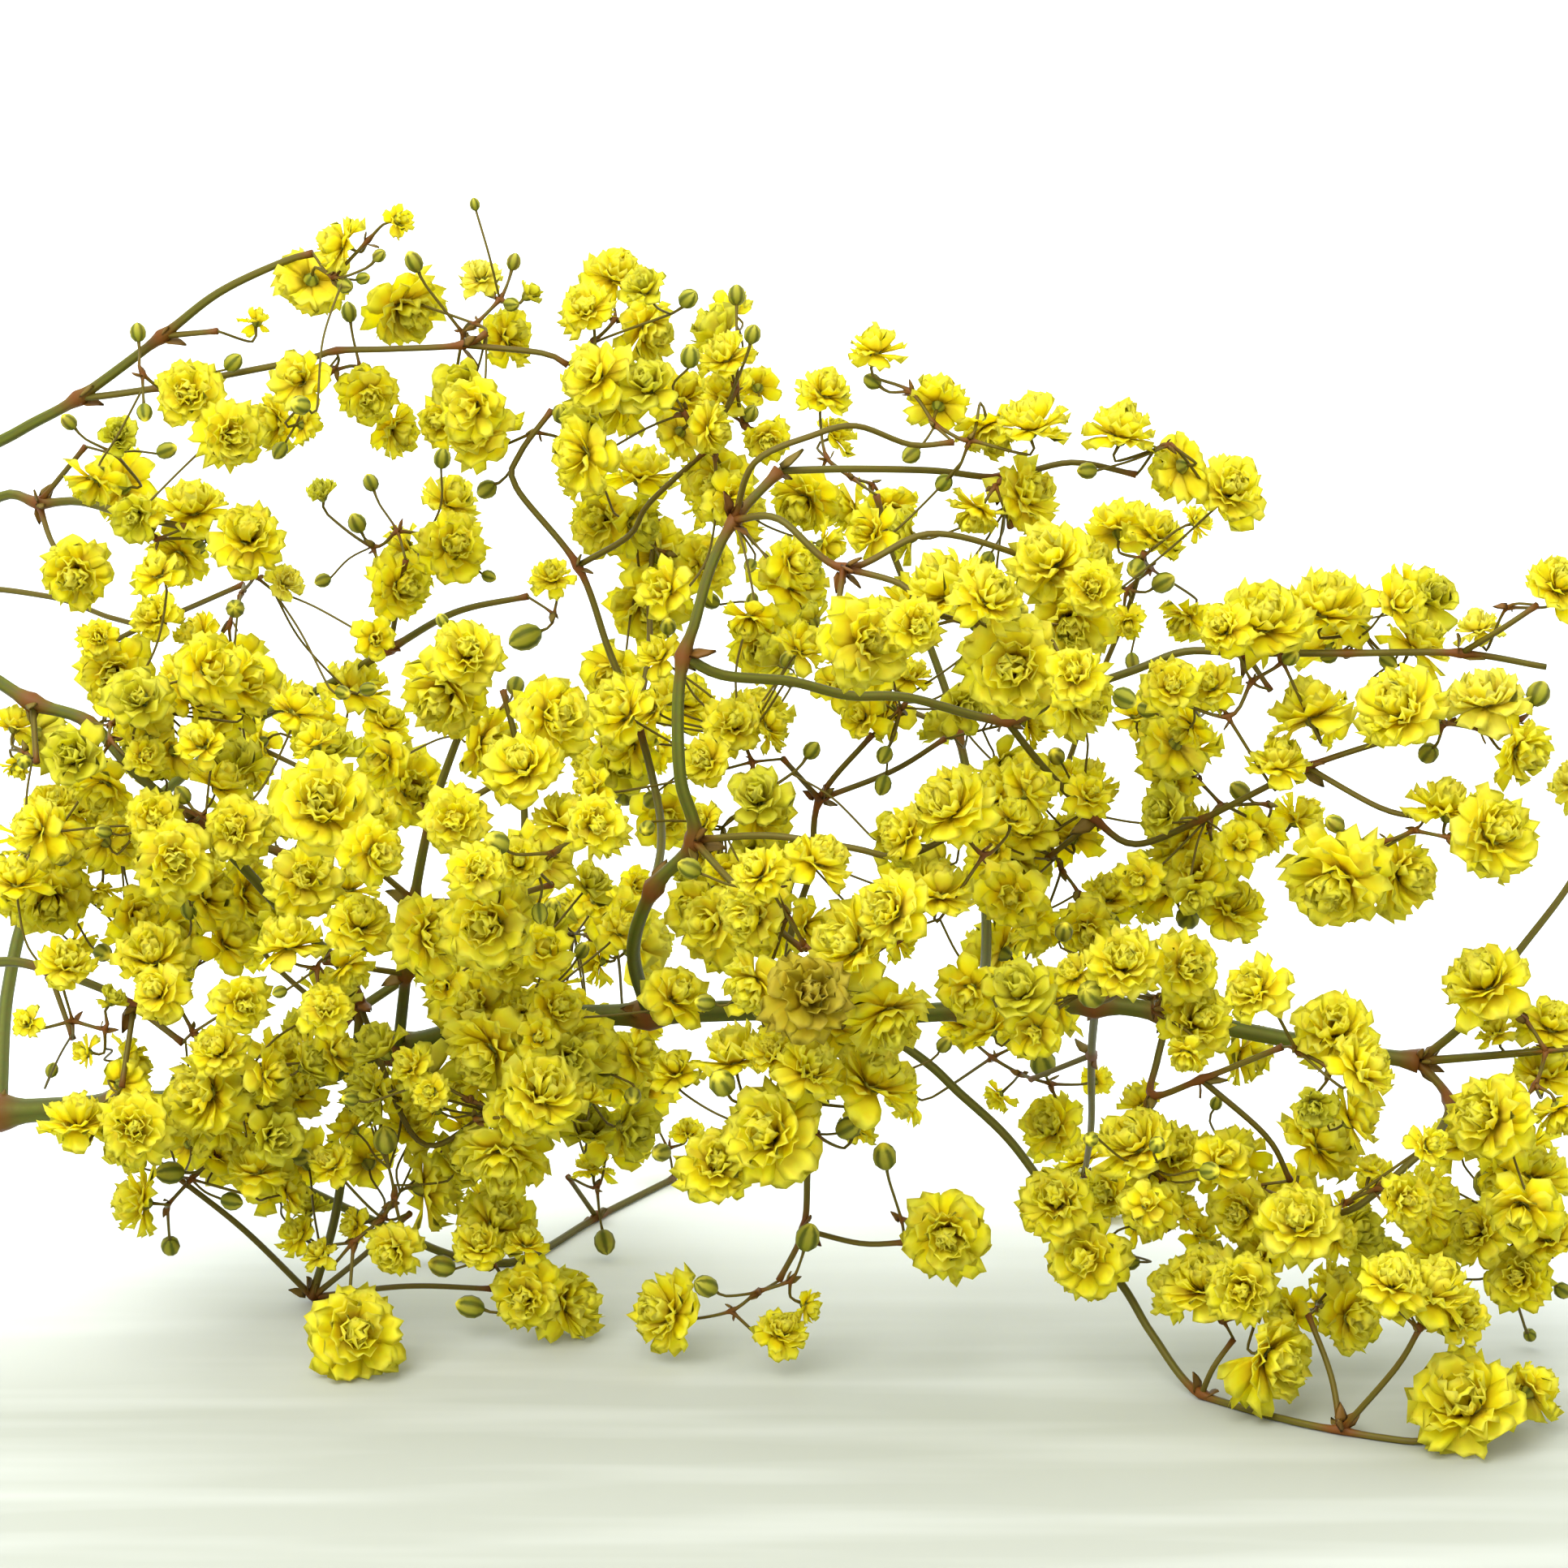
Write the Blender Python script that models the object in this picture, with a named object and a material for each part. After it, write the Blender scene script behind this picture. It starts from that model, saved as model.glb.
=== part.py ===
"""A cut stem of double gypsophila, lying on a surface.

The main stem runs from the cut end at -X to its fork at +X. Limbs leave it at swollen joints, and each
spray of blooms and buds stands on a limb. Places along the limbs and of the blooms were read by eye from
a photograph, as picture points with a depth, and spot() turns them into metres. Stalks between a limb and
its blooms follow a rule: at each joint one bloom ends the stalk, and the others fork to its two sides.
"""

import math

import bmesh
import bpy
import numpy as np

MM = 0.001

# The view that the places were read in: distances in metres, picture points in pixels
VIEW_DISTANCE = 0.450
VIEW_TILT = math.radians(12)
VIEW_HEIGHT = 0.0582
PIXEL = 0.08 * MM
PICTURE_MIDDLE = 966
FLOOR = None
# Moves the middle of the stem's underside to the origin
ORIGIN = np.array((52.97, -9.10, 0.0)) * MM

# Thickness and clearance, in metres
SEAT_GAP = 0.15 * MM
SEAT_ROOM = 1.5 * MM
CLEARANCE = 0.35 * MM
SAME_SPRAY_ROOM = 1.02
NEAR_ROOM = 2 * MM
NEAR_ROUNDS = 8
MEETING_SHARES = (0.2, 0.5, 0.8)
STALK_ROOM = 1.2
TIP_SLIP = 0.15
TIP_SHARE = 0.15
PUSH_SHARE = 0.8
BEND_EASE = 0.12
HOME_EASE = 0.02
FORK_SHARE = 0.5
NEAREST_SHARE = 0.6
STALK_RADIUS = 0.32 * MM
STALK_SWELL = 0.05 * MM
THICK_TWIG = 1.2 * MM
JOINT_SWELL = 1.5
JOINT_LENGTH = 1.4 * MM
SPAN = 18 * MM
BOW = 0.05
KNOB_HALF = 0.45 * MM
KNOB_STEP = 2.6
SHORTEST_STALK = 3.5 * MM
DOOR_FIT = 0.35
SHARP_TURN = -0.4
ROOT_LENGTH = 1.0 * MM
ROOT_DEPTH = 1.0 * MM
UPTURN = 0.25
BLOOM_FOOT = 0.7
BUD_FOOT = 0.9
BUD_LENGTH = 1.25

# How a spray spreads away from the viewer, and how far its places may go, in metres
DEPTH_SPREAD = 0.55
DEPTH_RANGE = (-46 * MM, 64 * MM)
SEED = 13
ROUNDS = 120

# Blooms: an outer ring of notches and petal tips below an inner ring of petals, as shares of the radius
NOTCH = 0.62
PETAL_TIP = 1.02
INNER_PETAL = 0.66
OUTER_DROP = 0.12
OUTER_LIFT = (-0.12, 0.28)
INNER_RISE = 0.58
INNER_LIFT = (-0.15, 0.15)
CROWN_RISE = 0.3
BUD_WIDTH = 1.1
BUD_SIDES = 4
FEWEST_PETALS = 3
SMALL_BLOOM = 2.1 * MM
LARGE_BLOOM = 3.1 * MM

# Each limb: the limb that carries it, whether its sprays are one body with it, and its twigs as start
# radius and end radius in millimetres and picture points (across, down, depth in millimetres, positive
# away from the viewer)
LIMBS = {
    "main_stem": (
        None,
        False,
        [
            (1.5, 0.75, [
                (-1200, 1566, FLOOR), (-900, 1515, 25), (-600, 1455, 28), (-330, 1410, 31), (-150, 1388, 31),
                (0, 1372, 29), (150, 1362, 25), (330, 1345, 19), (490, 1293, 12), (640, 1258, 8),
                (800, 1250, 6), (965, 1245, 4), (1060, 1252, 3), (1200, 1245, 0), (1350, 1238, -3),
                (1440, 1250, -5), (1520, 1268, -6), (1660, 1295, -7), (1748, 1308, -8),
            ]),
            (0.5, 0.35, [(1748, 1308, -8), (1810, 1255, -10), (1865, 1180, -10), (1930, 1095, -8),
                         (1965, 1030, -4)]),
            (0.5, 0.35, [(1748, 1308, -8), (1870, 1298, -14), (1950, 1290, -16)]),
            (0.5, 0.35, [(1748, 1308, -8), (1785, 1355, -12), (1770, 1400, -18), (1740, 1430, -21),
                         (1675, 1485, -22), (1635, 1497, -20)]),
            (0.42, 0.35, [(1785, 1355, -12), (1850, 1440, -10), (1890, 1520, -8)]),
        ],
    ),
    "limb_high_left": (
        "main_stem",
        False,
        [
            (0.95, 0.35, [
                (-330, 1410, 31), (-300, 1200, 32), (-240, 960, 32), (-150, 720, 29), (-60, 585, 26),
                (25, 530, 24), (97, 490, 22), (200, 414, 18), (270, 360, 15), (350, 322, 13), (385, 312, 12),
            ]),
            (0.4, 0.32, [(97, 490, 22), (125, 488, 21), (200, 477, 20), (300, 458, 18), (380, 442, 16),
                         (415, 432, 15), (480, 430, 14), (570, 425, 12), (600, 410, 12)]),
            (0.34, 0.3, [(570, 425, 12), (668, 435, 12), (700, 450, 12)]),
            (0.34, 0.3, [(200, 414, 18), (268, 408, 15)]),
        ],
    ),
    "limb_left_back": (
        "main_stem",
        True,
        [
            (0.85, 0.4, [
                (-150, 1388, 31), (-190, 1200, 40), (-200, 1000, 44), (-150, 800, 46), (-80, 680, 45),
                (0, 612, 42), (48, 620, 40), (97, 618, 38), (160, 635, 34), (230, 650, 31),
            ]),
            (0.36, 0.3, [(48, 620, 40), (105, 550, 37)]),
            (0.36, 0.3, [(48, 620, 40), (65, 670, 37), (92, 700, 34)]),
            (0.4, 0.3, [(-150, 800, 46), (-60, 730, 48), (60, 735, 45), (140, 762, 40), (190, 765, 37),
                        (300, 720, 31)]),
            (0.34, 0.3, [(190, 765, 37), (110, 805, 34)]),
        ],
    ),
    "limb_middle_left": (
        "main_stem",
        False,
        [
            (1.05, 0.45, [
                (-600, 1455, 28), (-520, 1200, 17), (-380, 970, 10), (-200, 840, 8), (-60, 815, 7),
                (40, 865, 5), (110, 890, 4), (170, 955, 2), (245, 1010, -1), (350, 1052, -3),
            ]),
            (0.36, 0.3, [(40, 865, 5), (45, 940, 0)]),
            (0.6, 0.5, [(245, 1010, -1), (310, 1080, 0), (360, 1135, 2), (410, 1180, 4), (442, 1235, 5),
                        (432, 1350, 7), (415, 1490, 10), (385, 1598, FLOOR)]),
            (0.4, 0.32, [(385, 1598, FLOOR), (300, 1515, 7), (215, 1448, 2)]),
            (0.36, 0.3, [(385, 1598, FLOOR), (500, 1585, 9), (605, 1588, 5)]),
            (0.36, 0.3, [(385, 1598, FLOOR), (450, 1545, 7), (505, 1495, 2)]),
            (0.36, 0.3, [(442, 1235, 5), (515, 1405, 0), (600, 1375, -3)]),
        ],
    ),
    "limb_low_left": (
        "main_stem",
        True,
        [
            (0.75, 0.35, [
                (-150, 1388, 31), (-150, 1290, 22), (-90, 1210, 11), (0, 1185, 4), (60, 1195, 1),
                (125, 1218, -3), (165, 1240, -5), (225, 1285, -8),
            ]),
            (0.34, 0.3, [(165, 1240, -5), (150, 1340, -9)]),
            (0.36, 0.3, [(-90, 1210, 11), (0, 1090, 13), (85, 1020, 10)]),
            (0.34, 0.3, [(60, 1195, 1), (90, 1280, -4)]),
        ],
    ),
    "limb_back_left": (
        "main_stem",
        True,
        [
            (0.9, 0.35, [
                (0, 1372, 29), (10, 1220, 46), (45, 1100, 54), (130, 1040, 55), (286, 905, 52),
                (393, 850, 48), (480, 800, 44), (560, 755, 40), (650, 735, 36),
            ]),
            (0.36, 0.3, [(286, 905, 52), (400, 960, 46)]),
            (0.36, 0.3, [(480, 800, 44), (500, 690, 38)]),
        ],
    ),
    "limb_inner_left": (
        "main_stem",
        True,
        [
            (0.7, 0.35, [(490, 1293, 12), (500, 1200, 0), (510, 1110, -8), (530, 1010, -14), (560, 920, -18),
                         (590, 850, -20)]),
            (0.36, 0.3, [(510, 1110, -8), (430, 1040, -16), (390, 985, -20)]),
            (0.36, 0.3, [(530, 1010, -14), (620, 960, -20), (700, 895, -22)]),
            (0.34, 0.3, [(500, 1200, 0), (400, 1185, -12)]),
            (0.36, 0.3, [(510, 1110, -8), (600, 1110, -20), (680, 1090, -26)]),
        ],
    ),
    "limb_inner_back": (
        "main_stem",
        True,
        [
            (0.65, 0.35, [(330, 1345, 19), (420, 1260, 28), (560, 1160, 32), (640, 1060, 33), (640, 940, 33),
                          (620, 850, 33)]),
            (0.36, 0.3, [(640, 1060, 33), (730, 1000, 34), (745, 900, 34)]),
            (0.36, 0.3, [(420, 1260, 28), (330, 1180, 30), (300, 1110, 30)]),
            (0.36, 0.3, [(560, 1160, 32), (700, 1150, 30)]),
        ],
    ),
    "limb_arch": (
        "main_stem",
        False,
        [
            (0.8, 0.5, [
                (800, 1250, 6), (780, 1170, -4), (805, 1095, -10), (855, 1035, -13), (838, 960, -14),
                (835, 870, -13), (842, 808, -12), (855, 770, -12), (875, 700, -11), (905, 640, -10),
                (960, 580, -8),
            ]),
            (0.4, 0.32, [(855, 1035, -13), (950, 1030, -17), (1050, 1045, -19), (1115, 1055, -19),
                         (1200, 1015, -17)]),
            (0.4, 0.32, [(855, 1035, -13), (900, 1085, -20), (960, 1145, -26), (990, 1170, -28)]),
        ],
    ),
    "limb_arch_top": (
        "limb_arch",
        True,
        [
            (0.42, 0.32, [(960, 580, -8), (1050, 578, -6), (1150, 580, -3), (1235, 588, 0), (1320, 570, 1),
                          (1400, 585, 1)]),
            (0.34, 0.3, [(1235, 588, 0), (1245, 650, -4)]),
        ],
    ),
    "limb_arch_curl": (
        "limb_arch",
        True,
        [
            (0.36, 0.3, [(905, 640, -10), (930, 570, -14), (1000, 537, -14), (1055, 525, -12),
                         (1122, 548, -9), (1175, 545, -8)]),
        ],
    ),
    "limb_arch_front": (
        "limb_arch",
        True,
        [
            (0.4, 0.32, [(905, 640, -10), (960, 640, -16), (1040, 700, -18), (1143, 658, -17),
                         (1245, 680, -14), (1282, 703, -12)]),
            (0.36, 0.3, [(1040, 700, -18), (1110, 720, -20), (1150, 755, -22), (1225, 775, -24)]),
            (0.34, 0.3, [(1040, 700, -18), (1030, 760, -23)]),
        ],
    ),
    "limb_right": (
        "limb_arch",
        False,
        [
            (0.6, 0.35, [
                (842, 808, -12), (890, 832, -11), (975, 840, -8), (1045, 857, -6), (1120, 860, -5),
                (1240, 888, -3), (1315, 855, -3), (1400, 825, -4), (1460, 803, -4), (1535, 805, -5),
                (1660, 805, -6), (1800, 805, -6), (1905, 822, -6),
            ]),
            (0.34, 0.3, [(1800, 805, -6), (1850, 775, -9), (1895, 745, -10)]),
            (0.42, 0.32, [(1240, 888, -3), (1290, 950, 1), (1350, 1010, 3), (1400, 1040, 2), (1480, 1010, -2),
                          (1550, 975, -6), (1610, 945, -8), (1700, 915, -10), (1795, 888, -12)]),
            (0.34, 0.3, [(1350, 1010, 3), (1290, 1058, 6)]),
            (0.34, 0.3, [(1610, 945, -8), (1700, 995, -12), (1755, 1008, -14)]),
            (0.32, 0.3, [(1535, 805, -5), (1565, 850, -9)]),
        ],
    ),
    "limb_centre_back": (
        "limb_arch",
        True,
        [
            (0.5, 0.32, [
                (805, 1095, -10), (815, 1040, 2), (810, 985, 11), (785, 888, 14), (750, 800, 15),
                (712, 697, 15), (636, 600, 15), (640, 560, 15), (680, 505, 15),
            ]),
            (0.36, 0.3, [(712, 697, 15), (775, 660, 11), (800, 620, 9), (870, 555, 6)]),
            (0.36, 0.3, [(785, 888, 14), (800, 800, 24), (800, 720, 30), (810, 640, 34)]),
        ],
    ),
    "limb_back_centre": (
        "main_stem",
        True,
        [
            (0.65, 0.35, [(1200, 1245, 0), (1215, 1180, 14), (1210, 1060, 24), (1180, 900, 31),
                          (1140, 780, 34), (1100, 680, 34), (1080, 610, 33)]),
            (0.4, 0.3, [(1210, 1060, 24), (1300, 970, 30), (1340, 870, 31), (1390, 750, 29), (1410, 680, 26)]),
            (0.36, 0.3, [(1180, 900, 31), (1050, 840, 34), (980, 740, 34)]),
        ],
    ),
    "limb_centre_low": (
        "main_stem",
        True,
        [
            (0.45, 0.32, [(965, 1245, 4), (975, 1150, 10), (1000, 1070, 11), (1010, 985, 11), (1075, 905, 9)]),
            (0.34, 0.3, [(1010, 985, 11), (965, 935, 5)]),
            (0.34, 0.3, [(1010, 985, 11), (1100, 950, 12), (1165, 910, 12)]),
        ],
    ),
    "limb_floor_right": (
        "main_stem",
        False,
        [
            (0.55, 0.36, [
                (1060, 1252, 3), (1140, 1308, 0), (1180, 1345, -2), (1242, 1403, -4), (1300, 1480, -6),
                (1380, 1580, -9), (1420, 1645, -11), (1480, 1719, FLOOR), (1580, 1748, FLOOR),
                (1652, 1763, FLOOR), (1740, 1776, FLOOR), (1783, 1768, -29),
            ]),
            (0.36, 0.3, [(1480, 1719, FLOOR), (1495, 1685, -18), (1520, 1650, -17)]),
            (0.36, 0.3, [(1652, 1763, FLOOR), (1640, 1695, -22), (1612, 1620, -18)]),
            (0.36, 0.3, [(1652, 1763, FLOOR), (1720, 1685, -30), (1750, 1635, -32)]),
        ],
    ),
    "limb_low_middle": (
        "main_stem",
        True,
        [
            (0.45, 0.32, [(965, 1245, 4), (1005, 1300, -2), (1000, 1365, -5), (995, 1440, -6),
                          (990, 1515, -6), (960, 1578, -6)]),
            (0.32, 0.3, [(990, 1515, -6), (1060, 1532, -10), (1115, 1531, -12)]),
            (0.34, 0.3, [(1000, 1365, -5), (930, 1400, -14)]),
        ],
    ),
    "limb_low_right": (
        "main_stem",
        True,
        [
            (0.42, 0.32, [(1440, 1250, -5), (1425, 1310, -9), (1420, 1350, -12), (1480, 1330, -16),
                          (1580, 1290, -20)]),
            (0.34, 0.3, [(1420, 1350, -12), (1400, 1440, -14)]),
            (0.34, 0.3, [(1480, 1330, -16), (1560, 1400, -14), (1590, 1455, -12)]),
        ],
    ),
    "limb_low_back_left": (
        "main_stem",
        True,
        [
            (0.6, 0.4, [(150, 1362, 25), (300, 1430, 26), (450, 1500, 26), (560, 1548, FLOOR),
                        (640, 1553, FLOOR), (735, 1500, FLOOR), (830, 1452, FLOOR)]),
            (0.34, 0.3, [(735, 1500, FLOOR), (700, 1450, 34)]),
        ],
    ),
    "limb_low_back_right": (
        "main_stem",
        True,
        [
            (0.5, 0.36, [(1350, 1238, -3), (1345, 1300, 18), (1345, 1380, 38), (1340, 1425, 50),
                         (1335, 1448, FLOOR)]),
            (0.34, 0.3, [(1345, 1300, 18), (1270, 1330, 28)]),
        ],
    ),
}

# Each spray: its limb, the picture point on the limb that it grows from, and how far its blooms lean
# away from the viewer, in millimetres
SPRAYS = [
    ("limb_high_left", 385, 312, -2), ("limb_high_left", 268, 408, 2), ("limb_high_left", 200, 477, -5),
    ("limb_high_left", 415, 432, 6), ("limb_high_left", 600, 410, 6), ("limb_high_left", 700, 450, -4),
    ("limb_left_back", 105, 550, 0), ("limb_left_back", 230, 650, 0), ("limb_left_back", 92, 700, -10),
    ("limb_left_back", 300, 720, -12), ("limb_left_back", 110, 805, -14),
    ("limb_middle_left", 110, 890, -10), ("limb_middle_left", 45, 940, 4),
    ("limb_middle_left", 245, 1010, -10), ("limb_middle_left", 350, 1052, -14),
    ("limb_middle_left", 215, 1448, -5), ("limb_middle_left", 605, 1588, -6),
    ("limb_middle_left", 505, 1495, -4), ("limb_middle_left", 600, 1375, -10),
    ("limb_low_left", 225, 1285, -8), ("limb_low_left", 150, 1340, -10), ("limb_low_left", 85, 1020, -2),
    ("limb_low_left", 90, 1280, -4),
    ("limb_back_left", 400, 960, 0), ("limb_back_left", 500, 690, 4), ("limb_back_left", 650, 735, 2),
    ("limb_inner_left", 590, 850, -8), ("limb_inner_left", 390, 985, -10),
    ("limb_inner_left", 700, 895, -8), ("limb_inner_left", 400, 1185, -8),
    ("limb_inner_left", 680, 1090, -10),
    ("limb_inner_back", 620, 850, 4), ("limb_inner_back", 745, 900, 6), ("limb_inner_back", 300, 1110, 8),
    ("limb_inner_back", 700, 1150, 10),
    ("limb_arch", 1200, 1015, -4), ("limb_arch", 990, 1170, -6),
    ("limb_arch_top", 1400, 585, 0), ("limb_arch_top", 1245, 650, 2), ("limb_arch_curl", 1175, 545, 2),
    ("limb_arch_front", 1282, 703, -8), ("limb_arch_front", 1225, 775, -8),
    ("limb_arch_front", 1030, 760, -6),
    ("limb_right", 1895, 745, -2), ("limb_right", 1660, 805, 4),
    ("limb_right", 1565, 850, -4), ("limb_right", 1795, 888, -4), ("limb_right", 1755, 1008, -4),
    ("limb_right", 1480, 1010, 6), ("limb_right", 1290, 1058, 4),
    ("limb_centre_back", 680, 505, 2), ("limb_centre_back", 870, 555, -4),
    ("limb_centre_back", 810, 640, 0),
    ("limb_back_centre", 1080, 610, 4), ("limb_back_centre", 1410, 680, 2),
    ("limb_back_centre", 980, 740, 0),
    ("limb_centre_low", 1075, 905, 0), ("limb_centre_low", 965, 935, -2),
    ("limb_centre_low", 1165, 910, 2),
    ("limb_floor_right", 1300, 1480, -8), ("limb_floor_right", 1520, 1650, -2),
    ("limb_floor_right", 1612, 1620, 4), ("limb_floor_right", 1750, 1635, -2),
    ("limb_floor_right", 1783, 1768, 0),
    ("limb_low_middle", 960, 1578, -4), ("limb_low_middle", 1115, 1531, 0),
    ("limb_low_middle", 930, 1400, -10),
    ("limb_low_right", 1580, 1290, -6), ("limb_low_right", 1400, 1440, 0),
    ("limb_low_right", 1590, 1455, 0),
    ("limb_low_back_left", 700, 1450, 0), ("limb_low_back_left", 830, 1452, 0),
    ("limb_low_back_right", 1335, 1448, 0), ("limb_low_back_right", 1270, 1330, 6),
    ("main_stem", 1965, 1030, 0), ("main_stem", 1950, 1290, 0), ("main_stem", 1635, 1497, -4),
    ("main_stem", 1890, 1520, 0),
    ("main_stem", 640, 1258, -16), ("main_stem", 1440, 1250, -16),
]

# Blooms as picture points and radius in pixels, from the top left to the bottom right
BLOOMS = [
    (402, 305, 30), (375, 348, 38), (318, 390, 18), (230, 485, 36), (283, 530, 36), (330, 520, 32),
    (380, 525, 21), (145, 535, 24), (362, 475, 22), (135, 600, 42), (175, 625, 24), (235, 615, 40),
    (305, 655, 40), (92, 710, 38), (215, 695, 35), (355, 715, 22), (395, 605, 20),
    (495, 270, 18), (505, 390, 43), (592, 335, 24), (655, 360, 18), (635, 412, 32), (765, 330, 35),
    (720, 375, 28), (807, 412, 35), (745, 490, 45), (720, 445, 20), (890, 430, 30), (893, 475, 32),
    (885, 530, 27), (455, 490, 32), (495, 535, 32), (540, 520, 28), (585, 525, 40), (560, 610, 33),
    (560, 670, 40), (490, 690, 38), (680, 705, 25), (735, 640, 38), (710, 580, 30), (790, 570, 40),
    (830, 540, 28), (880, 600, 40), (815, 670, 42), (870, 690, 35), (905, 620, 28), (945, 545, 25),
    (1080, 420, 30), (1020, 475, 32), (1035, 530, 25), (1160, 490, 31), (1225, 540, 35),
    (1270, 510, 38), (1385, 520, 38), (1440, 575, 35), (1512, 600, 38), (985, 625, 38), (1040, 630, 32),
    (1100, 640, 35), (1200, 640, 28), (1275, 605, 38), (985, 710, 45), (1160, 710, 48), (1225, 730, 35),
    (1290, 680, 45), (1380, 640, 38), (1430, 650, 35), (1480, 640, 20), (1350, 690, 35), (1075, 790, 45),
    (1130, 770, 28), (1120, 825, 25), (1250, 820, 50), (1320, 770, 42), (1345, 730, 30), (1320, 830, 30),
    (1390, 770, 20), (940, 800, 42),
    (1455, 770, 30), (1505, 770, 28), (1560, 755, 45), (1635, 735, 48), (1755, 785, 38), (1820, 770, 25),
    (1915, 725, 35), (1445, 840, 30), (1490, 840, 25), (1610, 865, 42), (1720, 865, 45), (1830, 850, 42),
    (1455, 905, 42), (1577, 930, 33), (1885, 930, 35), (1935, 955, 30), (1785, 985, 38), (1850, 1020, 45),
    (1610, 1005, 30), (1430, 1030, 42), (1550, 1035, 26), (1740, 1080, 40), (1440, 970, 25),
    (1480, 1030, 28),
    (185, 755, 28), (120, 785, 22), (235, 780, 30), (140, 835, 40), (185, 870, 36), (240, 850, 30),
    (285, 825, 35), (440, 835, 42), (480, 885, 28), (20, 885, 24), (95, 930, 18), (22, 950, 18),
    (310, 920, 32), (385, 910, 22), (180, 930, 22), (65, 985, 28), (95, 990, 24), (135, 1020, 45),
    (190, 1005, 30), (215, 1060, 42), (260, 1070, 26), (400, 985, 50), (455, 1000, 32), (290, 1020, 34),
    (375, 1080, 38), (60, 1115, 45), (10, 1110, 22), (125, 1105, 20), (85, 1180, 30), (185, 1170, 40),
    (335, 1115, 30), (355, 1150, 34), (445, 1130, 35), (290, 1170, 30),
    (500, 720, 38), (575, 800, 35), (540, 865, 45), (475, 930, 26), (610, 920, 40), (690, 880, 40),
    (510, 970, 45), (560, 1010, 32), (640, 935, 38), (725, 940, 38), (800, 755, 45), (940, 870, 38),
    (905, 890, 30), (820, 930, 24), (865, 935, 28), (700, 1000, 35), (735, 1015, 30), (470, 1050, 32),
    (860, 1010, 22), (800, 1160, 50), (600, 1140, 48), (540, 1150, 42), (700, 1120, 32),
    (745, 1130, 28), (790, 1090, 24), (590, 1070, 28), (640, 1060, 26), (930, 1070, 28),
    (900, 1115, 26),
    (1080, 870, 35), (955, 890, 28), (1165, 985, 42), (1105, 1025, 30), (1015, 1050, 33), (960, 1050, 22),
    (1155, 1085, 40), (1250, 1075, 50), (1250, 1000, 24), (1320, 1020, 32), (1340, 870, 34),
    (1345, 955, 32), (1280, 890, 28), (1040, 1160, 45), (1090, 1120, 36), (1215, 1160, 45),
    (920, 1130, 34), (1365, 1095, 32), (1340, 1150, 32), (1385, 1180, 38), (1320, 1195, 24),
    (1000, 1220, 42), (1270, 1240, 46), (1185, 1250, 32), (1100, 1265, 42), (920, 1220, 34),
    (190, 1220, 30), (30, 1258, 18), (140, 1228, 18), (100, 1297, 18), (95, 1370, 36), (165, 1390, 38),
    (240, 1345, 46), (265, 1290, 30), (310, 1340, 20), (315, 1430, 33), (160, 1480, 36),
    (300, 1240, 30), (345, 1390, 24), (400, 1240, 28), (360, 1520, 24), (390, 1540, 20),
    (435, 1200, 28), (405, 1430, 24), (430, 1510, 20), (440, 1640, 52),
    (550, 1190, 42), (580, 1235, 45), (620, 1180, 34), (725, 1185, 30), (690, 1240, 30), (640, 1240, 24),
    (590, 1305, 45), (720, 1290, 48), (680, 1340, 44), (790, 1330, 40), (640, 1370, 34), (760, 1390, 40),
    (730, 1430, 26), (900, 1290, 40), (950, 1290, 28), (1005, 1310, 35), (940, 1395, 52),
    (885, 1430, 40), (540, 1465, 45), (620, 1440, 46), (620, 1500, 42), (590, 1530, 28), (650, 1525, 24),
    (500, 1310, 24), (530, 1345, 20), (480, 1545, 30), (645, 1600, 38), (715, 1605, 42), (810, 1615, 42),
    (800, 1265, 26), (850, 1390, 22), (965, 1635, 28), (1000, 1612, 20),
    (1085, 1320, 46), (1110, 1355, 30), (1165, 1525, 45), (1225, 1355, 20), (1290, 1385, 38),
    (1330, 1420, 34), (1300, 1475, 38), (1335, 1550, 42), (1355, 1330, 20), (1395, 1400, 42),
    (1360, 1470, 36), (1060, 1385, 22),
    (1435, 1080, 44), (1520, 1110, 35), (1640, 1095, 52), (1825, 1200, 45), (1468, 1190, 36),
    (1480, 1255, 38), (1460, 1305, 22), (1540, 1215, 33), (1645, 1260, 42), (1690, 1310, 36),
    (1840, 1265, 22), (1915, 1260, 35), (1905, 1310, 34), (1825, 1375, 46), (1925, 1380, 30),
    (1450, 1420, 38), (1505, 1420, 40), (1640, 1400, 44), (1620, 1365, 24), (1690, 1435, 20),
    (1765, 1410, 22), (1735, 1480, 27), (1415, 1495, 33), (1460, 1485, 24), (1525, 1495, 34),
    (1600, 1500, 42), (1540, 1545, 32), (1895, 1435, 38), (1895, 1510, 36), (1815, 1515, 34),
    (1655, 1520, 24), (1440, 1580, 33), (1480, 1572, 44), (1530, 1590, 36), (1580, 1620, 28),
    (1580, 1680, 50), (1650, 1575, 28), (1675, 1625, 38), (1720, 1570, 34), (1770, 1580, 42),
    (1805, 1615, 32), (1870, 1575, 34), (1800, 1725, 58), (1895, 1705, 34),
]

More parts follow.
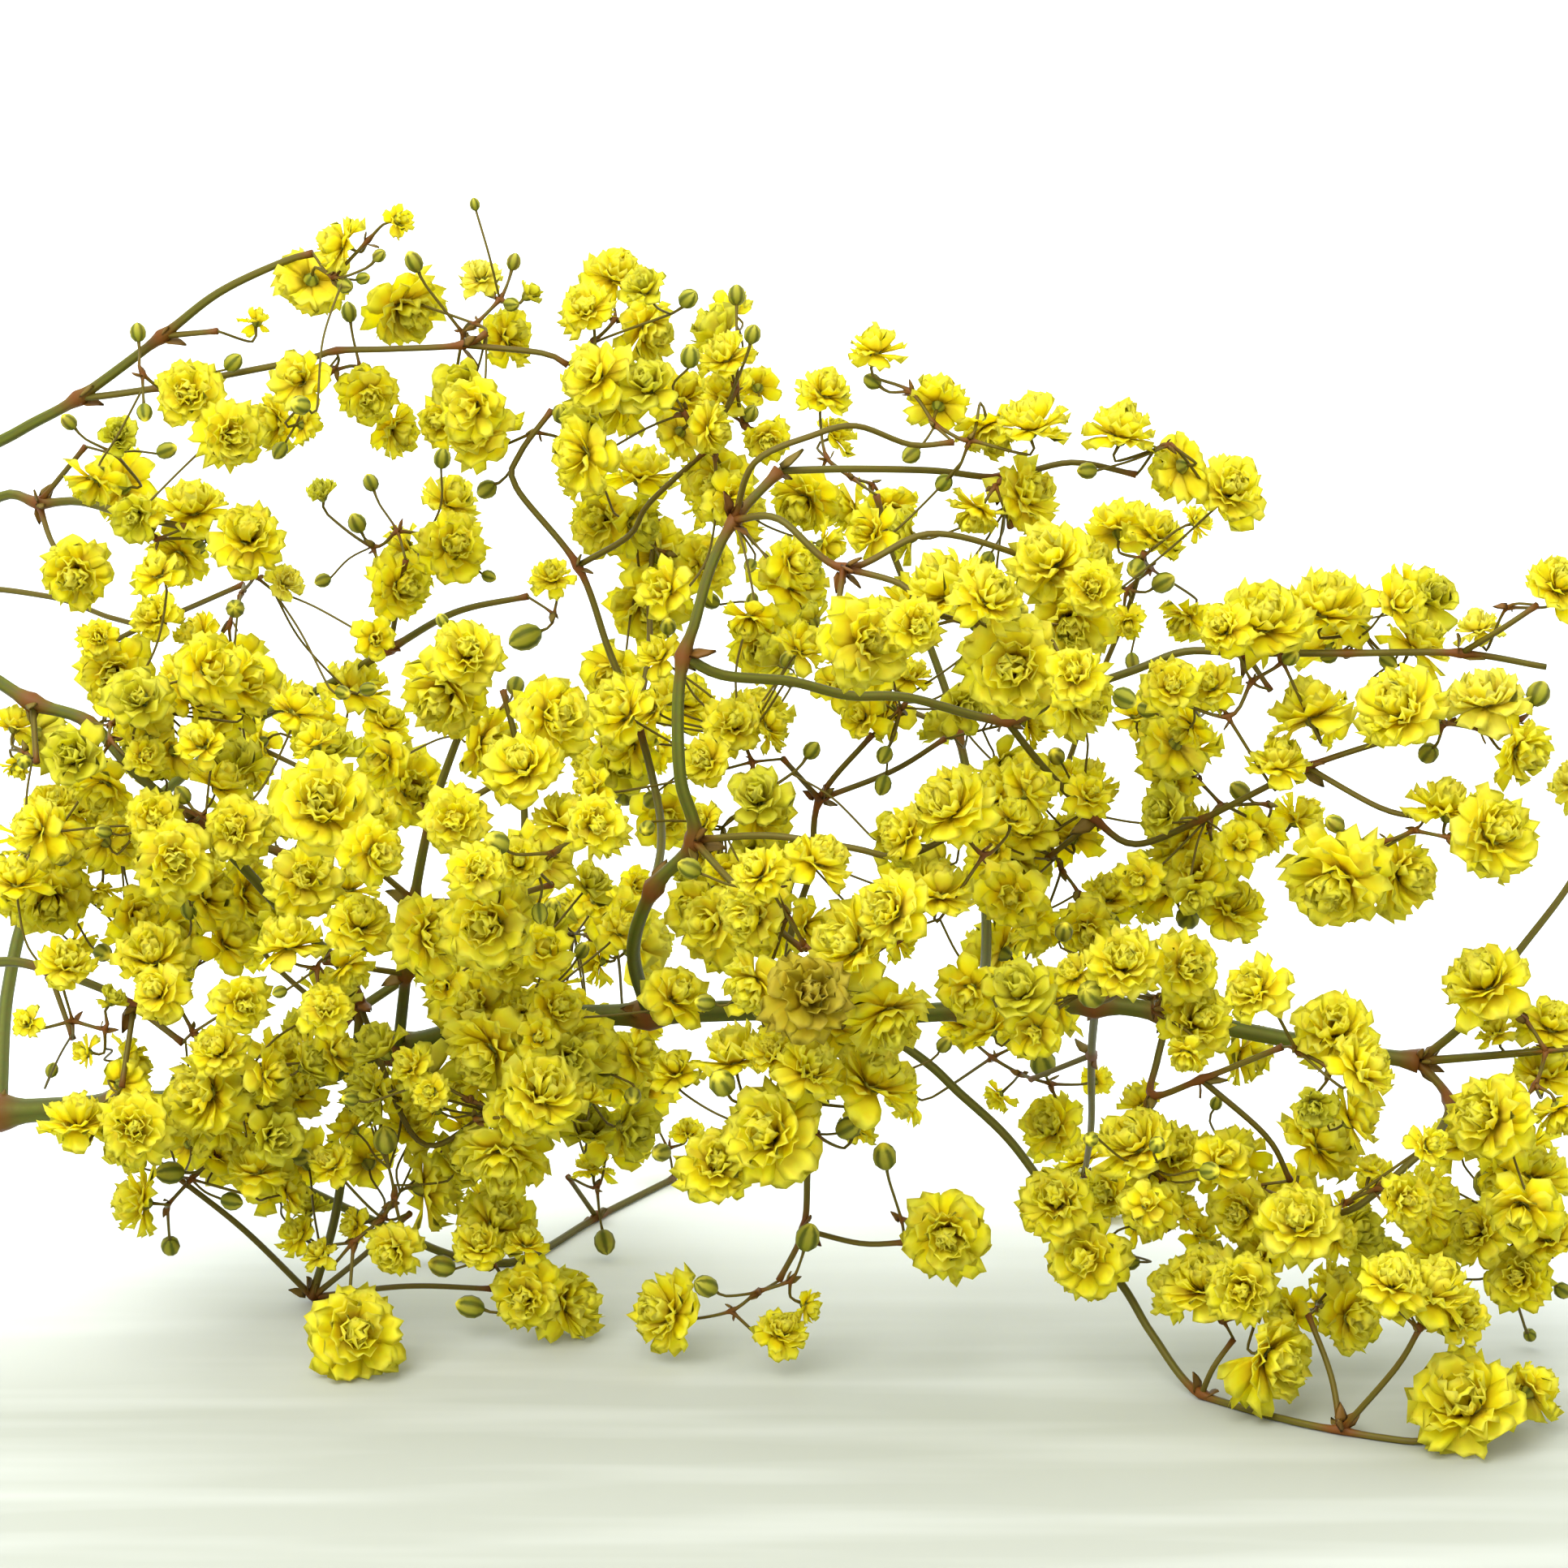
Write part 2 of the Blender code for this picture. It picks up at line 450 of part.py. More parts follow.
# Buds as picture points and radius in pixels
BUDS = [
    (170, 410, 12), (85, 520, 12), (178, 508, 12), (430, 385, 13), (467, 315, 10), (183, 648, 13),
    (457, 595, 12), (440, 645, 14), (510, 323, 14), (633, 323, 11), (848, 368, 14), (907, 365, 13),
    (927, 412, 12), (600, 603, 14), (690, 510, 14), (1075, 470, 12), (1163, 595, 12), (1433, 718, 16),
    (1675, 775, 15), (1760, 928, 14), (1528, 975, 14), (1645, 1015, 13), (1895, 855, 16), (290, 750, 14),
    (412, 908, 16), (225, 980, 12), (648, 785, 22), (635, 845, 14), (610, 1040, 16), (770, 980, 18),
    (1000, 925, 12), (1090, 930, 12), (1345, 1225, 20), (1460, 1130, 18), (210, 1535, 14),
    (210, 1445, 18), (475, 1405, 18), (580, 1610, 18), (745, 1530, 17), (870, 1585, 17), (890, 1335, 18),
    (1090, 1425, 18), (995, 1525, 18), (1285, 1310, 20), (1885, 1645, 10), (1925, 1590, 12),
    (1830, 1460, 18), (68, 680, 9),
]


def unit(vector):
    return vector / np.linalg.norm(vector)


def spot(across, down, depth, lift=0.0):
    """The place of a picture point at this depth in millimetres or, on the floor, at this height."""
    turn = np.array((
        (across - PICTURE_MIDDLE) * PIXEL / VIEW_DISTANCE,
        1.0,
        (PICTURE_MIDDLE - down) * PIXEL / VIEW_DISTANCE,
    ))
    away = np.array((0.0, math.cos(VIEW_TILT), -math.sin(VIEW_TILT)))
    above = np.array((0.0, math.sin(VIEW_TILT), math.cos(VIEW_TILT)))
    ray = np.array((turn[0], 0.0, 0.0)) + away + above * turn[2]
    eye = np.array((0.0, 0.0, VIEW_HEIGHT)) - away * VIEW_DISTANCE
    reach = (lift - eye[2]) / ray[2] if depth is FLOOR else (depth * MM - eye[1]) / ray[1]
    return eye + ray * reach


def sight(place):
    """The direction in which the viewer looks at this place."""
    away = np.array((0.0, math.cos(VIEW_TILT), -math.sin(VIEW_TILT)))
    return unit(place - np.array((0.0, 0.0, VIEW_HEIGHT)) + away * VIEW_DISTANCE)


def smooth_line(knots, radii):
    """A Catmull-Rom curve through the knots, with steps of SPAN at most, and its radii."""
    ends = np.vstack((2 * knots[0] - knots[1], knots, 2 * knots[-1] - knots[-2]))
    places, widths = [], []
    for i in range(len(knots) - 1):
        a, b, c, d = ends[i:i + 4]
        steps = max(1, math.ceil(np.linalg.norm(c - b) / SPAN))
        for t in np.arange(steps) / steps:
            places.append(0.5 * (2 * b + (c - a) * t + (2 * a - 5 * b + 4 * c - d) * t ** 2
                                 + (3 * b - a - 3 * c + d) * t ** 3))
            widths.append(radii[i] + (radii[i + 1] - radii[i]) * t)
    return np.array(places + [knots[-1]]), np.array(widths + [radii[-1]])


def with_joints(places, widths, joints):
    """The line with a short swelling at each of its points where another twig starts."""
    out, thick = [], []
    for i, place in enumerate(places):
        swells = 0 < i < len(places) - 1 and any(np.linalg.norm(place - j) < 0.1 * MM for j in joints)
        if not swells:
            out.append(place)
            thick.append(widths[i])
            continue
        for other, share in ((places[i - 1], 1), (place, JOINT_SWELL), (places[i + 1], 1)):
            step = other - place
            length = np.linalg.norm(step)
            out.append(place + (step * min(JOINT_LENGTH / length, 0.45) if length > 0 else 0))
            thick.append(widths[i] * share)
    return np.array(out), np.array(thick)


def rooted(place, lines):
    """The place inside the twig that ends nearest to this place, ROOT_DEPTH back from its end."""
    ends = [places for places, _ in lines]
    nearest = min(ends, key=lambda places: np.linalg.norm(places[-1] - place))
    return place + unit(nearest[-2] - nearest[-1]) * ROOT_DEPTH


def room(place, lines):
    """The distance from a place to the skin of the nearest of these lines, and the direction of that line."""
    best, heading = 1.0, None
    for places, widths in lines:
        a, b = places[:-1], places[1:]
        along = b - a
        t = np.clip(((place - a) * along).sum(1) / (along ** 2).sum(1), 0, 1)
        gap = np.linalg.norm(place - a - along * t[:, None], axis=1) - widths[:-1] - (widths[1:] - widths[:-1]) * t
        nearest = int(np.argmin(gap))
        if gap[nearest] < best:
            best, heading = gap[nearest], unit(along[nearest])
    return best, heading


def seated(places, lines, radius):
    """The line without its first stretch, so that its flat end starts SEAT_GAP from the lines that carry it."""
    places = np.array(places)
    while len(places) > 2 and room(places[1], lines)[0] < SEAT_GAP + radius:
        places = places[1:]
    start, step = places[0], places[1] - places[0]
    for share in np.linspace(0, 0.98, 99):
        gap, heading = room(start + step * share, lines)
        if gap >= SEAT_GAP + radius * abs(unit(step) @ heading):
            break
    places[0] = start + step * share
    return places


def lay_limbs():
    """The twigs of each limb as places and radii, with a limb of its own node seated clear of its carrier."""
    starts = [spot(*twig[2][0]) for _, _, twigs in LIMBS.values() for twig in twigs]
    limbs = {}
    for name, (carrier, _, twigs) in LIMBS.items():
        lines = []
        for number, (first, last, points) in enumerate(twigs):
            radii = np.linspace(first, last, len(points)) * MM
            knots = np.array([spot(*p, lift=r) for p, r in zip(points, radii)])
            places, widths = smooth_line(knots, radii)
            joints = [s for s in starts if np.linalg.norm(s - knots[0]) > 0.1 * MM]
            places, widths = with_joints(places, widths, joints)
            places[:, 2] = np.maximum(places[:, 2], widths)
            if carrier and number == 0:
                kept = seated(places, limbs[carrier], widths[0])
                places, widths = kept, widths[len(widths) - len(kept):]
            lines.append((places, widths))
        limbs[name] = lines
    return limbs


class Layout:
    """Every point of the sprays, and the stalks that run through them."""

    def __init__(self):
        self.place = []
        self.radius = []
        self.kind = []
        self.node = []
        self.stalks = []
        self.load = {}

    def add(self, place, kind, node, radius=0.0):
        self.place.append(np.array(place))
        self.kind.append(kind)
        self.node.append(node)
        self.radius.append(radius)
        return len(self.place) - 1

    def stretch(self, stalk, place, draws):
        """Adds the bends between a stalk's last point and this place, in a slight bow."""
        node, start = self.node[stalk[-1]], self.place[stalk[-1]]
        step = place - start
        bends = math.ceil(np.linalg.norm(step) / SPAN) - 1
        bow = np.cross(step, draws.normal(size=3)) * BOW
        for k in range(1, bends + 1):
            t = k / (bends + 1)
            stalk.append(self.add(start + step * t + bow * 4 * t * (1 - t), "bend", node))

    def fork(self, stalk, tips, draws):
        """Ends the stalk in the tip that lies best along it, and forks the others off to its two sides."""
        start, node = self.place[stalk[-1]], self.node[stalk[-1]]
        places = np.array([tip[0] for tip in tips])
        if len(tips) == 1:
            self.stretch(stalk, places[0], draws)
            stalk.append(self.add(places[0], tips[0][2], node, tips[0][1]))
            self.stalks.append(stalk)
            return
        reach = places.mean(0) - start
        nearest = np.linalg.norm(places - start, axis=1).min()
        far = np.linalg.norm(reach)
        joint_place = start + reach * max(min(FORK_SHARE, NEAREST_SHARE * nearest / far), SHORTEST_STALK / far)
        self.stretch(stalk, joint_place, draws)
        joint = self.add(joint_place, "joint", node)
        offsets = places - joint_place
        along = offsets @ unit(reach) / np.linalg.norm(offsets, axis=1)
        last = int(np.argmax(along))
        others = [i for i in range(len(tips)) if i != last]
        self.fork(stalk + [joint], [tips[last]], draws)
        if len(others) == 1:
            self.fork([joint], [tips[others[0]]], draws)
            return
        across = offsets[others] - np.outer(offsets[others] @ unit(reach), unit(reach))
        side = across @ np.linalg.svd(across - across.mean(0))[2][0]
        order = [others[i] for i in np.argsort(side)]
        half = len(order) // 2
        self.fork([joint], [tips[i] for i in order[:half]], draws)
        self.fork([joint], [tips[i] for i in order[half:]], draws)


def place_tips(bases, draws):
    """The blooms and buds of each spray: each grows from the nearest base in the picture."""
    seen = np.array([(base[1], base[2]) for base in bases], float)
    tips = [[] for _ in bases]
    for kind, spots in (("bloom", BLOOMS), ("bud", BUDS)):
        for across, down, size in spots:
            apart = np.hypot(seen[:, 0] - across, seen[:, 1] - down)
            home = int(np.argmin(apart))
            spread = DEPTH_SPREAD * apart[home] * PIXEL / MM + 2
            depth = bases[home][3] + bases[home][4] + spread * draws.uniform(-1, 1)
            size = size * PIXEL
            lowest = spot(across, down, FLOOR, lift=size)[1] / MM
            depth = float(np.clip(min(depth, lowest), DEPTH_RANGE[0] / MM, DEPTH_RANGE[1] / MM))
            tips[home].append((spot(across, down, depth), size, kind))
    return tips


def lay_sprays(limbs):
    """The layout of all sprays, before their stalks and blooms are pushed clear of each other."""
    draws = np.random.default_rng(SEED)
    bases = []
    for limb, across, down, lean in SPRAYS:
        twig, depth = next(
            (number, point[2]) for number, (_, _, points) in enumerate(LIMBS[limb][2])
            for point in points if point[:2] == (across, down)
        )
        if depth is FLOOR:
            depth = spot(across, down, FLOOR)[1] / MM
        bases.append((limb, across, down, depth, lean, twig))
    layout = Layout()
    for number, (base, tips) in enumerate(zip(bases, place_tips(bases, draws))):
        limb, across, down, depth, _, _ = base
        if not tips:
            print("no blooms near", base)
            continue
        node = limb if LIMBS[limb][1] else f"spray_{number + 1:02d}"
        grown = np.vstack([places for places, _ in limbs[limb]])
        away = np.linalg.norm(grown - spot(across, down, depth), axis=1)
        first = layout.add(grown[np.argmin(away)], "base", node)
        layout.fork([first], tips, draws)
    for stalk in layout.stalks:
        for i in stalk:
            layout.load[i] = layout.load.get(i, 0) + 1
    return layout


def stalk_width(load):
    """The radius of a stalk that carries this many blooms and buds."""
    return STALK_RADIUS + STALK_SWELL * math.sqrt(load - 1)


def push_clear(layout, limbs):
    """Moves the points of the sprays apart, round by round, until nothing meets what isn't its own node.

    A bloom moves along the line of sight, so that it stays where the photograph shows it. Stalks move any
    way, at three places along each stretch, and are drawn straight again.
    """
    place = np.array(layout.place)
    kinds = np.array(layout.kind)
    tip = (kinds == "bloom") | (kinds == "bud")
    size = np.array(layout.radius)
    widths = np.array([stalk_width(layout.load[i]) for i in range(len(place))])
    names = sorted(set(layout.node) | set(limbs))
    node = np.array([names.index(n) for n in layout.node])
    home = place.copy()
    sights = np.array([sight(p) for p in place])
    a = np.array([i for s in layout.stalks for i in s[:-1]])
    b = np.array([j for s in layout.stalks for j in s[1:]])
    shares = MEETING_SHARES
    first = np.concatenate([a] * len(shares) + [np.flatnonzero(tip)])
    second = np.concatenate([b] * len(shares) + [np.flatnonzero(tip)])
    share = np.concatenate([np.full(len(a), t) for t in shares] + [np.zeros(tip.sum())])
    is_tip = np.arange(len(first)) >= len(a) * len(shares)
    skin = np.where(is_tip, size[first], widths[first] * STALK_ROOM)
    owner = node[first]
    wood, wood_skin, wood_owner = [], [], []
    for name, lines in limbs.items():
        for points, widths in lines:
            for k in range(len(points) - 1):
                count = max(2, math.ceil(np.linalg.norm(points[k + 1] - points[k]) / MM))
                t = np.linspace(0, 1, count)[:, None]
                wood.append(points[k] + (points[k + 1] - points[k]) * t)
                wood_skin += list(widths[k] + (widths[k + 1] - widths[k]) * t[:, 0])
                wood_owner += [names.index(name)] * count
    wood = np.vstack(wood)
    all_skin = np.concatenate((skin, wood_skin))
    all_owner = np.concatenate((owner, wood_owner))
    free = len(first)
    fixed = kinds == "base"
    shortest = np.where(tip[b], size[b] * BLOOM_FOOT + 0.7 * SHORTEST_STALK, SHORTEST_STALK)
    neighbours = {}
    for i, j in zip(a, b):
        neighbours.setdefault(i, []).append(j)
        neighbours.setdefault(j, []).append(i)
    bends = [(i, n) for i, n in neighbours.items() if kinds[i] == "bend"]
    for step in range(ROUNDS):
        samples = place[first] * (1 - share[:, None]) + place[second] * share[:, None]
        whole = np.vstack((samples, wood))
        if step % NEAR_ROUNDS == 0:
            near = []
            for i in range(0, free, 400):
                part = np.linalg.norm(whole[None, :] - samples[i:i + 400, None], axis=2)
                reach = all_skin[None, :] + skin[i:i + 400, None] + CLEARANCE + NEAR_ROOM
                rows, columns = np.nonzero(part < reach)
                rows = rows + i
                other = np.minimum(columns, free - 1)
                apart = all_owner[columns] != all_owner[rows]
                kin = (second[rows] == first[other]) | (second[other] == first[rows])
                headed = (columns < free) & (is_tip[other] | is_tip[rows]) & ~kin
                keep = (columns > rows) & (apart | headed)
                near.append(np.stack((rows[keep], columns[keep])))
            rows, columns = np.hstack(near)
            seat = fixed[first[rows]] & (np.linalg.norm(samples[rows] - place[first[rows]], axis=1) < SEAT_ROOM)
            keep = ~(seat & (columns >= free))
            rows, columns = rows[keep], columns[keep]
        gap = whole[columns] - whole[rows]
        length = np.linalg.norm(gap, axis=1) + 1e-9
        same = all_owner[columns] == all_owner[rows]
        need = all_skin[columns] + all_skin[rows]
        need = np.where(same, need * SAME_SPRAY_ROOM, need + CLEARANCE)
        hit = length < need
        if not hit.any():
            break
        r, c = rows[hit], columns[hit]
        short, away = (need - length)[hit], (gap / length[:, None])[hit]
        push = np.zeros_like(place)
        weight = np.zeros(len(place))
        wooden = c >= free
        c_free = np.minimum(c, free - 1)
        tips_both = ~wooden & is_tip[r] & is_tip[c_free]
        see = sights[first[r]]
        deep = (gap[hit] * see).sum(1)
        flat = np.sqrt(np.maximum(length[hit] ** 2 - deep ** 2, 0))
        wanted = np.sqrt(np.maximum(need[hit] ** 2 - flat ** 2, 0))
        turn = np.where(deep >= 0, 1.0, -1.0)
        move = np.where(tips_both[:, None], see * ((wanted - np.abs(deep)) * turn)[:, None], away * short[:, None])
        tip_r, tip_c = is_tip[r], ~wooden & is_tip[c_free]
        part_r = np.where(wooden, 1.0, np.where(tip_r == tip_c, 0.5, np.where(tip_r, TIP_SHARE, 1 - TIP_SHARE)))
        for index, side, amount in ((r, -1, part_r), (c_free, 1, 1 - part_r)):
            use = np.ones(len(index), bool) if side < 0 else ~wooden
            for ends, portion in ((first, 1 - share), (second, share)):
                w = portion[index] * (~is_tip[index] | (ends is first))
                np.add.at(push, ends[index[use]], (move * (side * amount * w)[:, None])[use])
                np.add.at(weight, ends[index[use]], (w * 0.5)[use])
        push /= np.maximum(weight, 1.0)[:, None] ** 0.5
        push[fixed] = 0
        seen = (push * sights).sum(1)
        push[tip] = sights[tip] * seen[tip, None] + (push[tip] - sights[tip] * seen[tip, None]) * TIP_SLIP
        place += push * PUSH_SHARE
        for i, around in bends:
            place[i] += (place[around].mean(0) - place[i]) * BEND_EASE
        step_ab = place[b] - place[a]
        length_ab = np.linalg.norm(step_ab, axis=1)
        part_ab = np.where(fixed[a], 1.0, 0.5)[:, None]
        short_ab = np.maximum(shortest - length_ab, 0)[:, None] * step_ab / length_ab[:, None] * part_ab
        np.add.at(place, b, short_ab * ~tip[b, None])
        np.add.at(place, a, -short_ab * ~fixed[a, None])
        joints = kinds == "joint"
        place[joints] += (home[joints] - place[joints]) * HOME_EASE
        place[:, 1] = np.clip(place[:, 1], *DEPTH_RANGE)
        low = np.where(tip, size, 2 * STALK_RADIUS)
        sunk = ~fixed & (place[:, 2] < low)
        lift = (low - place[:, 2])[sunk]
        toward = -sights[sunk]
        rise = np.where(tip[sunk], toward[:, 2], 1.0)
        place[sunk] += np.where(tip[sunk, None], toward * (lift / rise)[:, None], lift[:, None] * (0, 0, 1))
    print("meeting places left:", int(hit.sum()), "after", step + 1, "rounds")
    layout.place = list(place)


def ring(middle, ahead, side, radii, turn):
    """A ring of points round a line, one for each radius, counted anticlockwise seen from ahead."""
    angles = turn + np.arange(len(radii)) * 2 * math.pi / len(radii)
    other = np.cross(ahead, side)
    return middle + np.outer(radii * np.cos(angles), side) + np.outer(radii * np.sin(angles), other)


def bridge(lower, upper):
    """Triangles between two rings of any counts, given as lists of point numbers."""
    faces, i, j = [], 0, 0
    n, m = len(lower), len(upper)
    while i < n or j < m:
        if j == m or (i < n and (i + 1) * m <= (j + 1) * n):
            faces.append((lower[i % n], lower[(i + 1) % n], upper[j % m]))
            i += 1
        else:
            faces.append((lower[i % n], upper[(j + 1) % m], upper[j % m]))
            j += 1
    return faces


def head_rings(kind, middle, ahead, side, radius, draws):
    """The rings and the crown point of a bloom, with two layers of petals, or of a bud."""
    if kind == "bud":
        widest = ring(middle, ahead, side, np.full(BUD_SIDES, radius * BUD_WIDTH), 0)
        return [widest], middle + ahead * radius * BUD_LENGTH
    petals = FEWEST_PETALS + int(radius > SMALL_BLOOM) + int(radius > LARGE_BLOOM)
    outer = np.tile((NOTCH, PETAL_TIP), petals) * radius * draws.uniform(0.92, 1.06, 2 * petals)
    inner = np.full(petals, INNER_PETAL) * radius * draws.uniform(0.85, 1.15, petals)
    lower = ring(middle - ahead * radius * OUTER_DROP, ahead, side, outer, 0)
    lower[1::2] += ahead * radius * draws.uniform(*OUTER_LIFT, (petals, 1))
    upper = ring(middle + ahead * radius * INNER_RISE, ahead, side, inner, 0)
    upper += ahead * radius * draws.uniform(*INNER_LIFT, (petals, 1))
    return [lower, upper], middle + ahead * radius * CROWN_RISE


class Skin:
    """The closed surface of one spray: three-sided stalks that fork at knobs and widen into their heads."""

    def __init__(self, layout, draws):
        self.layout = layout
        self.draws = draws
        self.points = []
        self.faces = []
        self.laterals = {}
        for stalk in layout.stalks:
            self.laterals.setdefault(stalk[0], []).append(stalk)

    def add(self, places):
        self.points += list(places)
        return list(range(len(self.points) - len(places), len(self.points)))

    def width(self, i):
        return stalk_width(self.layout.load[i])

    def start(self, stalk, root):
        """Begins a spray at its base, with a flat end or with a point at its root in the limb that carries it."""
        place = np.array(self.layout.place[stalk[0]])
        ahead = unit(self.layout.place[stalk[1]] - place)
        side = unit(np.cross(ahead, (0.3, 0.5, 0.8)))
        radii = np.full(3, self.width(stalk[0]))
        if root is not None:
            point = self.add([root])
            numbers = self.add(ring(place + ahead * ROOT_LENGTH, ahead, side, radii, 0))
            self.faces += [(numbers[(k + 1) % 3], numbers[k], point[0]) for k in range(3)]
        else:
            numbers = self.add(ring(place, ahead, side, radii, 0))
            self.faces.append((numbers[2], numbers[1], numbers[0]))
        self.run(stalk, numbers)

    def outward(self, numbers, ahead):
        """The directions from a ring's middle to its points, as they are once the ring is turned to face ahead."""
        places = np.array([self.points[i] for i in numbers])
        spokes = places - places.mean(0)
        spokes /= np.linalg.norm(spokes, axis=1)[:, None]
        faced = unit(np.cross(spokes, np.roll(spokes, -1, axis=0)).sum(0))
        hinge = np.cross(faced, ahead)
        once = np.cross(hinge, spokes)
        return spokes + once + np.cross(hinge, once) / max(1 + faced @ ahead, 0.01)

    def aligned(self, lower, middle, ahead, radii):
        """A ring whose first point stands over the first point of the ring below it."""
        side = self.outward(lower, ahead)[0]
        side = unit(side - ahead * (side @ ahead))
        numbers = self.add(ring(middle, ahead, side, radii, 0))
        self.faces += bridge(lower, numbers)
        return numbers

    def knob(self, lower, middle, ahead, width, away):
        """A short swelling with a side open for each lateral stalk that a side faces well enough.

        Returns its top ring and, for each lateral stalk, the corners of its open side or None.
        """
        normals = [unit(w - ahead * (w @ ahead)) for w in away]
        side = np.cross(normals[0], ahead)
        other = np.cross(ahead, side)
        azimuths = [math.atan2(n @ other, n @ side) for n in normals]
        best = (-2.0, 0.0, [0])
        for turn in np.linspace(0, 2 * math.pi / 3, 24, endpoint=False):
            centres = turn + math.pi / 3 + np.arange(3) * 2 * math.pi / 3
            fits = [[math.cos(a - c) for c in centres] for a in azimuths]
            chosen = [int(np.argmax(f)) for f in fits]
            if len(set(chosen)) == len(chosen):
                worst = min(f[c] for f, c in zip(fits, chosen))
                best = max(best, (worst, turn, chosen), key=lambda b: b[0])
        _, turn, chosen = best
        radii = np.full(3, width * JOINT_SWELL)
        first = middle - ahead * KNOB_HALF
        numbers = self.add(ring(first, ahead, side, radii, turn))
        over = unit(self.points[numbers[0]] - first)
        spokes = self.outward(lower, ahead)
        twist = np.arctan2(np.cross(spokes, over) @ ahead, spokes @ over) % (2 * math.pi)
        lead = int(np.argmin(twist))
        self.faces += bridge(lower[lead:] + lower[:lead], numbers)
        upper = self.add(ring(middle + ahead * KNOB_HALF, ahead, side, radii, turn))
        doors = [None] * len(away)
        for k in range(3):
            corners = [numbers[k], numbers[(k + 1) % 3], upper[(k + 1) % 3], upper[k]]
            faced = turn + math.pi / 3 + k * 2 * math.pi / 3
            if k in chosen and away[chosen.index(k)] @ (math.cos(faced) * side + math.sin(faced) * other) > DOOR_FIT:
                doors[chosen.index(k)] = corners
            else:
                self.faces += [tuple(corners[:3]), (corners[0], corners[2], corners[3])]
        return upper, doors

    def run(self, stalk, lower):
        """Carries a stalk on from a ring of points, through its knobs, to its bloom or bud."""
        place, kinds = self.layout.place, self.layout.kind
        head, middle = stalk[-1], np.array(place[stalk[-1]])
        kind, radius = kinds[head], self.layout.radius[head]
        ahead = unit(unit(middle - place[stalk[-2]]) + np.array((0, 0, UPTURN)))
        foot = middle - ahead * radius * (BLOOM_FOOT if kind == "bloom" else BUD_FOOT)
        line = [place[i] for i in stalk[:-1]] + [foot]
        for k, i in enumerate(stalk[1:-1], 1):
            arriving, leaving = unit(line[k] - line[k - 1]), unit(line[k + 1] - line[k])
            sharp = kinds[i] == "joint" and arriving @ leaving < SHARP_TURN
            onward = arriving if sharp else unit(arriving + leaving)
            others = self.laterals.get(i, []) if kinds[i] == "joint" else []
            if not others:
                lower = self.aligned(lower, line[k], onward, np.full(3, self.width(i)))
                continue
            away = [unit(place[other[1]] - line[k]) for other in others]
            flat = [unit(w - onward * (w @ onward)) for w in away]
            together = len(others) == 1 or flat[0] @ flat[1] < 0.5
            order = [list(range(len(others)))] if together else [[j] for j in np.argsort([w @ onward for w in away])]
            for height, chosen in enumerate(order):
                spot_here = line[k] + onward * height * KNOB_STEP * KNOB_HALF
                lower, doors = self.knob(lower, spot_here, onward, self.width(i), [away[j] for j in chosen])
                for j, corners in zip(chosen, doors):
                    if corners:
                        self.run(others[j], corners)
                    else:
                        self.start(others[j], spot_here)
            if sharp:
                self.faces.append(tuple(lower))
                self.start(stalk[k:], line[k])
                return
        lower = self.aligned(lower, foot, ahead, np.full(3, self.width(head)))
        side = self.outward(lower, ahead)[0]
        rings, crown = head_rings(kind, middle, ahead, side, radius, self.draws)
        for places_round in rings:
            numbers = self.add(places_round)
            self.faces += bridge(lower, numbers)
            lower = numbers
        top = self.add([crown])[0]
        self.faces += [(lower[k], lower[(k + 1) % len(lower)], top) for k in range(len(lower))]


def mesh_object(name, points, faces):
    mesh = bpy.data.meshes.new(name)
    mesh.from_pydata([tuple(p + ORIGIN) for p in points], [], faces)
    return bpy.data.objects.new(name, mesh)


def twig_object(name, places, widths, thick):
    """A tube through the places, of six sides if thick or else of four, made a closed mesh."""
    curve = bpy.data.curves.new(name, "CURVE")
    curve.dimensions = "3D"
    curve.bevel_depth = MM
    curve.bevel_resolution = int(thick)
    curve.use_fill_caps = True
    line = curve.splines.new("POLY")
    line.points.add(len(places) - 1)
    for point, place, width in zip(line.points, places, widths):
        point.co = (*(place + ORIGIN), 1)
        point.radius = width / MM
    tube = bpy.data.objects.new(name, curve)
    bpy.context.scene.collection.objects.link(tube)
    graph = bpy.context.evaluated_depsgraph_get()
    mesh = bpy.data.meshes.new_from_object(tube.evaluated_get(graph))
    bpy.data.objects.remove(tube)
    work = bmesh.new()
    work.from_mesh(mesh)
    bmesh.ops.remove_doubles(work, verts=work.verts, dist=0.00001)
    bmesh.ops.recalc_face_normals(work, faces=work.faces)
    work.to_mesh(mesh)
    work.free()
    return bpy.data.objects.new(name, mesh)


def joined(name, pieces, home, material):
    """One body of all the pieces, by one Boolean union on their collection."""
    body = pieces[0]
    body.name = name
    home.objects.link(body)
    others = bpy.data.collections.new(name + " parts")
    bpy.context.scene.collection.children.link(others)
    for piece in pieces[1:]:
        others.objects.link(piece)
    union = body.modifiers.new("union", "BOOLEAN")
    union.operand_type = "COLLECTION"
    union.collection = others
    union.operation = "UNION"
    union.solver = "EXACT"
    union.use_self = True
    graph = bpy.context.evaluated_depsgraph_get()
    mesh = bpy.data.meshes.new_from_object(body.evaluated_get(graph))
    body.modifiers.clear()
    body.data = mesh
    for piece in pieces[1:]:
        bpy.data.objects.remove(piece)
    bpy.data.collections.remove(others)
    body.data.name = name
    body.data.materials.clear()
    body.data.materials.append(material)
    return body


def finish(name, colour, roughness):
    material = bpy.data.materials.new(name)
    material.use_nodes = True
    shader = material.node_tree.nodes["Principled BSDF"]
    shader.inputs["Base Color"].default_value = (*colour, 1)
    shader.inputs["Roughness"].default_value = roughness
    shader.inputs["Metallic"].default_value = 0.0
    return material


